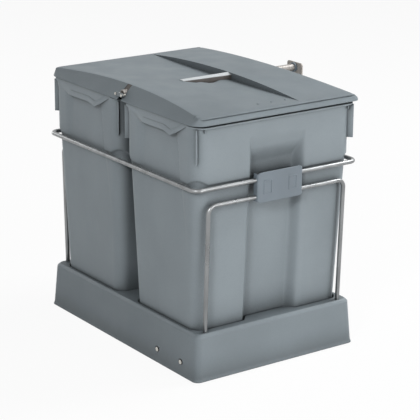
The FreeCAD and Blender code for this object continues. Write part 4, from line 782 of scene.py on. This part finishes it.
def lid_outline(y, edge):
    """Where the lid ends and where its side band starts, at places along the lid."""
    reach, radius, slope = edge
    past = np.abs(y) - (LID_END - radius)
    outline = np.full(len(y), reach)
    round_part = reach - radius + np.sqrt(np.maximum(radius ** 2 - past ** 2, 0.0))
    outline = np.where(past > 0.0, round_part, outline)
    fold = reach - (arch(y) - BAND_FOOT) / slope
    for _ in range(8):
        angle = np.arctan2(np.maximum(past, 0.0), np.maximum(fold - reach + radius, 0.1))
        fall = radius - (arch(y) - BAND_FOOT) / lip_slope(angle, slope)
        bent = reach - radius + np.sqrt(np.maximum(fall ** 2 - past ** 2, 0.0))
        fold = np.where(past > 0.0, 0.5 * (fold + bent), fold)
    return outline, np.minimum(fold, outline - 1.5)


def between(y, old, new):
    """y moved as a stretch of mesh lines goes from its old ends to its new ones."""
    return new[0] + (y - old[0]) * (new[1] - new[0]) / (old[1] - old[0])


def warped(x, y):
    """Moves the mesh lines near the housing onto its edges."""
    _, front, back = grip(x)
    before = between(y, (WARP_FRONT, HOUSING_FRONT), (WARP_FRONT, front))
    on_top = between(y, (HOUSING_FRONT, HOUSING_BACK), (front, back))
    behind = between(y, (WARP_BACK, HOUSING_BACK), (WARP_BACK, back))
    moved = np.where(y < HOUSING_FRONT, before, np.where(y < HOUSING_BACK, on_top, behind))
    return np.where((y > WARP_FRONT) & (y < WARP_BACK), moved, y)


# Mesh lines along the lid, close together at its ends and round the housing.
END_LINES = spread((LID_END, 2), (238.4, 14), (234.8, 4), (231.0, 4), (215.0, 26), (40.0, 1))
HOUSING_LINES = spread(
    (-40.0, 1), (-38.0, 10), (-14.3, 1), (-13.7, 2), (SLOT_FRONT, 5), (-2.6, 2),
    (-1.4, 3), (SLOT_BACK, 3), (9.0, 1), (9.6, 4), (WARP_BACK, 1), (40.0, 1))
# Mesh lines across its low side, after its edge and the fold of its side band.
LOW_LINES = (-64.0, -54.0, -32.0, 23.0, STEP_X)
LOW_CELLS = (7, 20, 4, 8, 26, 8, 1)
# Bead and groove on the front and back lips: reach, height and width. They fade in along the
# lid and out across it between the two places given.
LIP_BEAD, LIP_GROOVE = (1.4, 468.0, 1.1), (1.3, 465.6, 0.7)
BEAD_FROM, BEAD_TO = (232.0, 235.0), (172.0, 162.0)
# The upright edge below the bands and lips: a first drop, and how much narrower its foot is.
EDGE_DROP, EDGE_TUCK = 0.9, 0.35 / 200.0


def lid_rows():
    """Rows of points over the lid, each across it."""
    y = np.concatenate([-END_LINES[:-1], HOUSING_LINES, END_LINES[::-1][1:]])
    left, left_fold = lid_outline(y, LEFT_EDGE)
    right, right_fold = lid_outline(y, RIGHT_EDGE)
    rows = []
    for index, yi in enumerate(y):
        low = spread(*zip((-left[index], -left_fold[index]) + LOW_LINES, LOW_CELLS))
        high = spread((STEP_X, 20), (right_fold[index], 7), (right[index], 1))
        x = np.concatenate([low, high])
        raised = np.arange(len(x)) >= len(low)
        place = warped(x, np.full(len(x), yi))
        z = lid_height(x, place, raised)
        on_lip = smooth(abs(yi), *BEAD_FROM) * smooth(np.abs(x), *BEAD_TO)
        (bead, *bead_at), (groove, *groove_at) = LIP_BEAD, LIP_GROOVE
        out = on_lip * (bead * bell(z, *bead_at) - groove * bell(z, *groove_at))
        rows.append(points(x, place + np.sign(yi) * out, z))
    return np.array(rows)


def make_lid():
    skin = Skin()
    rows = lid_rows()
    cell_x = (rows[:-1, :-1, 0] + rows[1:, 1:, 0]) / 2
    cell_y = (rows[:-1, :-1, 1] + rows[1:, 1:, 1]) / 2
    in_slot = (cell_y > SLOT_FRONT) & (cell_y < SLOT_BACK)
    skin.grid(rows, keep=~(in_slot & ((cell_x < SLOT_END) | (cell_x > NOTCH_END))))
    # The short upright edge all round, with the bar's notches left open.
    around = np.concatenate([rows[0], rows[1:, -1], rows[-1, ::-1][1:], rows[::-1, 0][1:-1]])
    narrower = 1.0 - EDGE_TUCK
    foot = around * (narrower, narrower, 0.0) + (0.0, 0.0, LID_EDGE)
    pair_y = (around[:, 1] + np.roll(around[:, 1], -1)) / 2
    on_side = (around[:, 0] < 1.0 - LEFT_EDGE[0]) | (around[:, 0] > RIGHT_EDGE[0] - 1.0)
    open_cells = on_side & (pair_y > SLOT_FRONT) & (pair_y < SLOT_BACK)
    skin.grid([around, around - (0.0, 0.0, EDGE_DROP), foot], closed=True,
              keep=np.broadcast_to(~open_cells, (2, len(around))))
    skin.piece("lid_moulding", "lid", "lid_plastic", LID, ["lid"], wall=LID_WALL, sharp=32.0)


# Three raised pips near the lid's front, as (radius, lift), and the ribs under it.
PIPS_X, PIPS_Y = (-24.0, 5.0, 35.0), -208.0
PIP_PROFILE = ((2.8, -0.3), (2.5, 0.5), (1.8, 1.0), (1.0, 1.25), (0.0, 1.3))
PIP_SIDES = 16
RIBS_X, RIBS_Z = (-144.5, 60.5, 144.5), 460.0
RIB_SIZE, RIB_EDGE = (3.0, 416.0, 14.0), 0.4


def make_marks():
    marks = Skin()
    turn = np.linspace(0, 2 * math.pi, PIP_SIDES, endpoint=False)
    for x in PIPS_X:
        low_side = np.array([False])
        top = float(lid_height(np.array([x]), np.array([PIPS_Y]), low_side)[0])
        marks.grid([points(x + radius * np.cos(turn), PIPS_Y + radius * np.sin(turn), top + lift)
                    for radius, lift in PIP_PROFILE], closed=True)
    for x in RIBS_X:
        marks.slab((x, 0.0, RIBS_Z), ACROSS, ALONG, UP, RIB_SIZE, RIB_EDGE)
    marks.piece("lid_marks", "lid", "lid_plastic", LID)


def make_grip():
    """A pale strip on the housing as painted highlight, and its front face in painted shade."""
    x = np.linspace(HOUSING_LEFT, STEP_X - 0.2, 60)
    share, front, back = grip(x)
    crest = CREST + CREST_ALONG * share
    top = crest + CREST_ACROSS * share
    # Painted highlight along the housing's top edge.
    strip = Skin()
    strip.grid([points(x, y, z) for y, z in (
        (front - FACE_AHEAD, crest - 1.3), (front - 0.5, crest - 0.6),
        (front - 0.3, crest + 0.2), (front + 0.7, crest + 0.6), (back - 0.7, top + 0.6),
        (back + 0.2, top))])
    strip.piece("grip_painted_highlight", "lid", "lid_plastic", HIGHLIGHT_STRIP)
    # Painted shade on the housing's front face, under the strip.
    face = Skin()
    foot = ruled_top(x, front) - scoop_depth(share) - 0.6
    face.grid([points(x, front - 0.45, foot + (crest - 0.7 - foot) * part)
               for part in (0.0, 0.35, 0.7, 1.0)])
    face.piece("grip_face_painted_shade", "lid", "lid_plastic", SHADED_FACE)


# A dark sheet in the slot, as painted shade, lies along the left side band.
SLOT_SHADE_PLACE, SLOT_SHADE_SIZE, SLOT_SHADE_EDGE = (-157.6, BAR_Y, 473.9), (19.0, 13.2, 0.8), 0.2
SLOT_SHADE_ALONG, SLOT_SHADE_UP = (0.7, 0.0, 0.714), (-0.714, 0.0, 0.7)


def make_slot_shade():
    # Painted shade: the dark sheet that fills the slot opening.
    slot_shade_sheet = Skin()
    slot_shade_sheet.slab(SLOT_SHADE_PLACE, SLOT_SHADE_ALONG, ALONG, SLOT_SHADE_UP, SLOT_SHADE_SIZE, SLOT_SHADE_EDGE)
    slot_shade_sheet.piece("slot_painted_shade", "lid", "lid_plastic", SLOT_SHADE)


make_lid()
make_marks()
make_grip()
make_slot_shade()


# Wires --------------------------------------------------------------------

WIRE_RADIUS, BEND_RADIUS = 4.0, 14.0
RING_HALF_X, RING_HALF_Y, RING_Z = 174.6, 237.0, 345.3
# The ring's butt weld, ground nearly flush.
WELD_X, WELD_PROUD = (88.0, 89.0, 90.5, 92.0, 93.0), 0.25
HOOP_HALF_X, HOOP_Y, HOOP_TOP = 147.0, 237.0, 315.0
HOOP_LEG, HOOP_LEAN = 266.0, math.radians(2.0)


def bend(corner, before, after, radius, steps=10):
    """Points of a round bend at a corner between two unit directions."""
    corner, before, after = (np.array(v, dtype=float) for v in (corner, before, after))
    centre = corner + radius * (after - before)
    turn = np.linspace(0.0, math.pi / 2, steps + 1)[:, None]
    return centre - radius * np.cos(turn) * after + radius * np.sin(turn) * before


def make_ring():
    skin = Skin()
    path = []
    for before, after in (((1, 0, 0), (0, 1, 0)), ((0, 1, 0), (-1, 0, 0)),
                          ((-1, 0, 0), (0, -1, 0)), ((0, -1, 0), (1, 0, 0))):
        corner = ((before[0] - after[0]) * RING_HALF_X, (before[1] - after[1]) * RING_HALF_Y,
                  RING_Z)
        path.append(bend(corner, before, after, BEND_RADIUS))
    skin.tube(np.concatenate(path), WIRE_RADIUS, closed=True)
    skin.tube([(x, RING_HALF_Y, RING_Z) for x in WELD_X], WIRE_RADIUS + WELD_PROUD)
    skin.piece("ring_wire_drawn", "carriage", "wire_steel", WIRE, ["ring_wire"], sharp=60.0)


def make_hoop(name, side):
    """A hoop at the front (side -1) or the back (side 1), which leans out towards its top."""
    skin = Skin()
    rise = np.array([0.0, -math.sin(HOOP_LEAN), math.cos(HOOP_LEAN)])
    left = np.array([-HOOP_HALF_X, -HOOP_Y, HOOP_TOP])
    right = np.array([HOOP_HALF_X, -HOOP_Y, HOOP_TOP])
    leg = HOOP_LEG * rise
    path = np.concatenate([
        [left - leg, left - 0.5 * leg], bend(left, rise, ACROSS, BEND_RADIUS),
        bend(right, ACROSS, -rise, BEND_RADIUS), [right - 0.5 * leg, right - leg]])
    path[:, 1] *= -side
    skin.tube(path, WIRE_RADIUS)
    skin.piece(name + "_drawn", "carriage", "wire_steel", WIRE, [name], sharp=60.0)


make_ring()
make_hoop("front_hoop", -1.0)
make_hoop("rear_hoop", 1.0)


# Door bracket -------------------------------------------------------------

BRACKET_WALL, BRACKET_EDGE = 2.4, 0.5
BRACKET_Z, BRACKET_HALF_X, BRACKET_HALF_Z = 332.0, 49.0, 27.0
# The plate's face, the radius of its bent flanges, and where these end.
BRACKET_FACE, BRACKET_BEND, FLANGE_END = -243.7, 3.3, -231.7
# The flanges are this much lower at both edges, from the first place across to the second.
FLANGE_TAPER, TAPER_RUN = 2.6, (42.5, 49.0)
# Two embossed fields, each a low frame on the face: half sizes, radius, and (inset, lift).
FIELDS_X, FIELD_HALF_X, FIELD_HALF_Z, FIELD_RADIUS = (-27.0, 27.0), 9.0, 13.0, 1.6
FIELD_FACE = -243.5
FIELD_PROFILE = ((0.0, -0.1), (-0.5, 0.9), (-1.7, 0.9), (-2.2, -0.1))


def bracket_path():
    """The plate seen from above, from one flange's end to the other's, as (x, y)."""
    centre_x, centre_y = BRACKET_BEND - BRACKET_HALF_X, BRACKET_FACE + BRACKET_BEND
    path = [(-BRACKET_HALF_X, y) for y in (FLANGE_END, -236.0, centre_y)]
    for angle in range(15, 90, 15):
        turn = math.radians(angle)
        path.append((centre_x - BRACKET_BEND * math.cos(turn),
                     centre_y - BRACKET_BEND * math.sin(turn)))
    path += [(x, BRACKET_FACE) for x in np.linspace(centre_x, 0.0, 10)]
    return np.array(path + [(-x, y) for x, y in path[-2::-1]])


def make_bracket():
    skin = Skin()
    path = bracket_path()
    half = BRACKET_HALF_Z - FLANGE_TAPER * smooth(np.abs(path[:, 0]), *TAPER_RUN)
    skin.grid([points(path[:, 0], path[:, 1], BRACKET_Z + half * share) for share in even(12)])
    bracket = skin.piece("door_bracket_plate", "carriage", "bracket_steel", COAT,
                         ["door_bracket"], wall=BRACKET_WALL, sharp=40.0)
    soften = bracket.modifiers.new("edges", "BEVEL")
    soften.width = BRACKET_EDGE * MM
    soften.segments = 2
    soften.limit_method = "ANGLE"
    soften.angle_limit = math.radians(50)


def make_fields():
    fields = Skin()
    places = plain_stations(4, 6, 4)
    for x in FIELDS_X:
        rows = []
        for out, lift in FIELD_PROFILE:
            radius = FIELD_RADIUS + out * 0.5
            flat = ring(places, FIELD_HALF_X + out, FIELD_HALF_Z + out, radius, 0.0)
            rows.append(points(flat[:, 0] + x, FIELD_FACE - lift, flat[:, 1] + BRACKET_Z))
        fields.grid(rows, closed=True)
    fields.piece("door_bracket_fields", "carriage", "bracket_steel", COAT)


make_bracket()
make_fields()


# Camera, light and ground -------------------------------------------------

# The camera's distance and shifts are in millimetres, its focal length in pixels.
CAMERA_AZIMUTH, CAMERA_ELEVATION = math.radians(-35.542), math.radians(17.351)
CAMERA_ROLL = 0.0075
CAMERA_AWAY, CAMERA_RIGHT, CAMERA_UP = 3285.0, 22.19, 212.24
FOCAL_LENGTH, PICTURE_WIDTH, SENSOR = 1737.8, 420.0, 36.0
# Lamps as (name, place, diameter, power), in metres and watts, and what they are aimed at.
LAMPS = (("front", (0.95, -3.0, 0.85), 1.7, 41.0), ("left", (-2.0, -1.5, 1.55), 0.6, 32.0),
         ("above", (2.2, -0.4, 2.3), 1.5, 74.0), ("behind", (-0.6, 2.9, 0.9), 1.5, 20.0))
LAMP_AIM = (0.0, 0.0, 0.25)
SKY, SKY_LIGHT = (0.95, 0.975, 1.0, 1.0), 0.05
FLOOR_RADIUS, FLOOR_SIDES = 12.0, 64
# The floor's own colour, and how much of it the white covers where it is seen directly.
FLOOR_GREY, FLOOR_WHITE = (0.88, 0.88, 0.88, 1.0), 0.93


def set_camera():
    azimuth, elevation = CAMERA_AZIMUTH, CAMERA_ELEVATION
    back = Vector((math.sin(azimuth) * math.cos(elevation),
                   -math.cos(azimuth) * math.cos(elevation), math.sin(elevation)))
    right = Vector((math.cos(azimuth), math.sin(azimuth), 0.0))
    up = back.cross(right)
    rolled_right = right * math.cos(CAMERA_ROLL) + up * math.sin(CAMERA_ROLL)
    rolled_up = up * math.cos(CAMERA_ROLL) - right * math.sin(CAMERA_ROLL)
    lens = bpy.data.cameras.new("camera")
    lens.sensor_width = SENSOR
    lens.lens = FOCAL_LENGTH * SENSOR / PICTURE_WIDTH
    lens.clip_start, lens.clip_end = 0.1, 60.0
    camera = bpy.data.objects.new("camera", lens)
    turn = Matrix((rolled_right, rolled_up, back)).transposed().to_4x4()
    place = back * CAMERA_AWAY + rolled_right * CAMERA_RIGHT + rolled_up * CAMERA_UP
    camera.matrix_world = Matrix.Translation(place * MM) @ turn
    scene.collection.objects.link(camera)
    scene.camera = camera


def add_light(name, place, size, power):
    lamp = bpy.data.lights.new(name, "AREA")
    lamp.shape = "DISK"
    lamp.size = size
    lamp.energy = power
    light = bpy.data.objects.new(name, lamp)
    light.location = place
    aim = Vector(LAMP_AIM) - Vector(place)
    light.rotation_mode = "QUATERNION"
    light.rotation_quaternion = aim.to_track_quat("-Z", "Y")
    scene.collection.objects.link(light)


def seen_directly(tree):
    """1 for what the camera, a reflection or glass sees, 0 for light on the object."""
    path = tree.nodes.new("ShaderNodeLightPath")
    total = path.outputs["Is Camera Ray"]
    for name in ("Is Glossy Ray", "Is Transmission Ray"):
        either = tree.nodes.new("ShaderNodeMath")
        either.operation = "MAXIMUM"
        tree.links.new(total, either.inputs[0])
        tree.links.new(path.outputs[name], either.inputs[1])
        total = either.outputs[0]
    return total


def blend(tree, share, first, second, surface):
    """Sends a mix of two shaders to a surface."""
    mixed = tree.nodes.new("ShaderNodeMixShader")
    tree.links.new(share, mixed.inputs["Fac"])
    tree.links.new(first.outputs[0], mixed.inputs[1])
    tree.links.new(second.outputs[0], mixed.inputs[2])
    tree.links.new(mixed.outputs[0], surface)


def set_world():
    """Faint light from all round, and white where the world is seen directly."""
    world = bpy.data.worlds.new("studio")
    world.use_nodes = True
    scene.world = world
    tree = world.node_tree
    sky = tree.nodes["Background"]
    fill(sky, {"Color": SKY, "Strength": SKY_LIGHT})
    white = tree.nodes.new("ShaderNodeBackground")
    fill(white, {"Color": (1.0, 1.0, 1.0, 1.0), "Strength": 1.0})
    blend(tree, seen_directly(tree), sky, white, tree.nodes["World Output"].inputs["Surface"])


def add_floor():
    """A pale floor that runs out into the white, and keeps a soft shadow."""
    turn = np.linspace(0, 2 * math.pi, FLOOR_SIDES, endpoint=False)
    mesh = bpy.data.meshes.new("floor")
    mesh.from_pydata([(FLOOR_RADIUS * math.cos(a), FLOOR_RADIUS * math.sin(a), 0.0)
                      for a in turn], [], [list(range(FLOOR_SIDES))])
    floor = bpy.data.objects.new("floor", mesh)
    scene.collection.objects.link(floor)
    paint = bpy.data.materials.new("pale_floor")
    paint.use_nodes = True
    tree = paint.node_tree
    tree.nodes.remove(tree.nodes["Principled BSDF"])
    matt = tree.nodes.new("ShaderNodeBsdfDiffuse")
    fill(matt, {"Color": FLOOR_GREY})
    glow = tree.nodes.new("ShaderNodeEmission")
    fill(glow, {"Strength": 1.0})
    share = tree.nodes.new("ShaderNodeMath")
    share.operation = "MULTIPLY"
    share.inputs[1].default_value = FLOOR_WHITE
    tree.links.new(seen_directly(tree), share.inputs[0])
    blend(tree, share.outputs[0], matt, glow, tree.nodes["Material Output"].inputs["Surface"])
    mesh.materials.append(paint)


set_camera()
set_world()
add_floor()
for lamp in LAMPS:
    add_light(*lamp)
scene.view_settings.view_transform = "Standard"
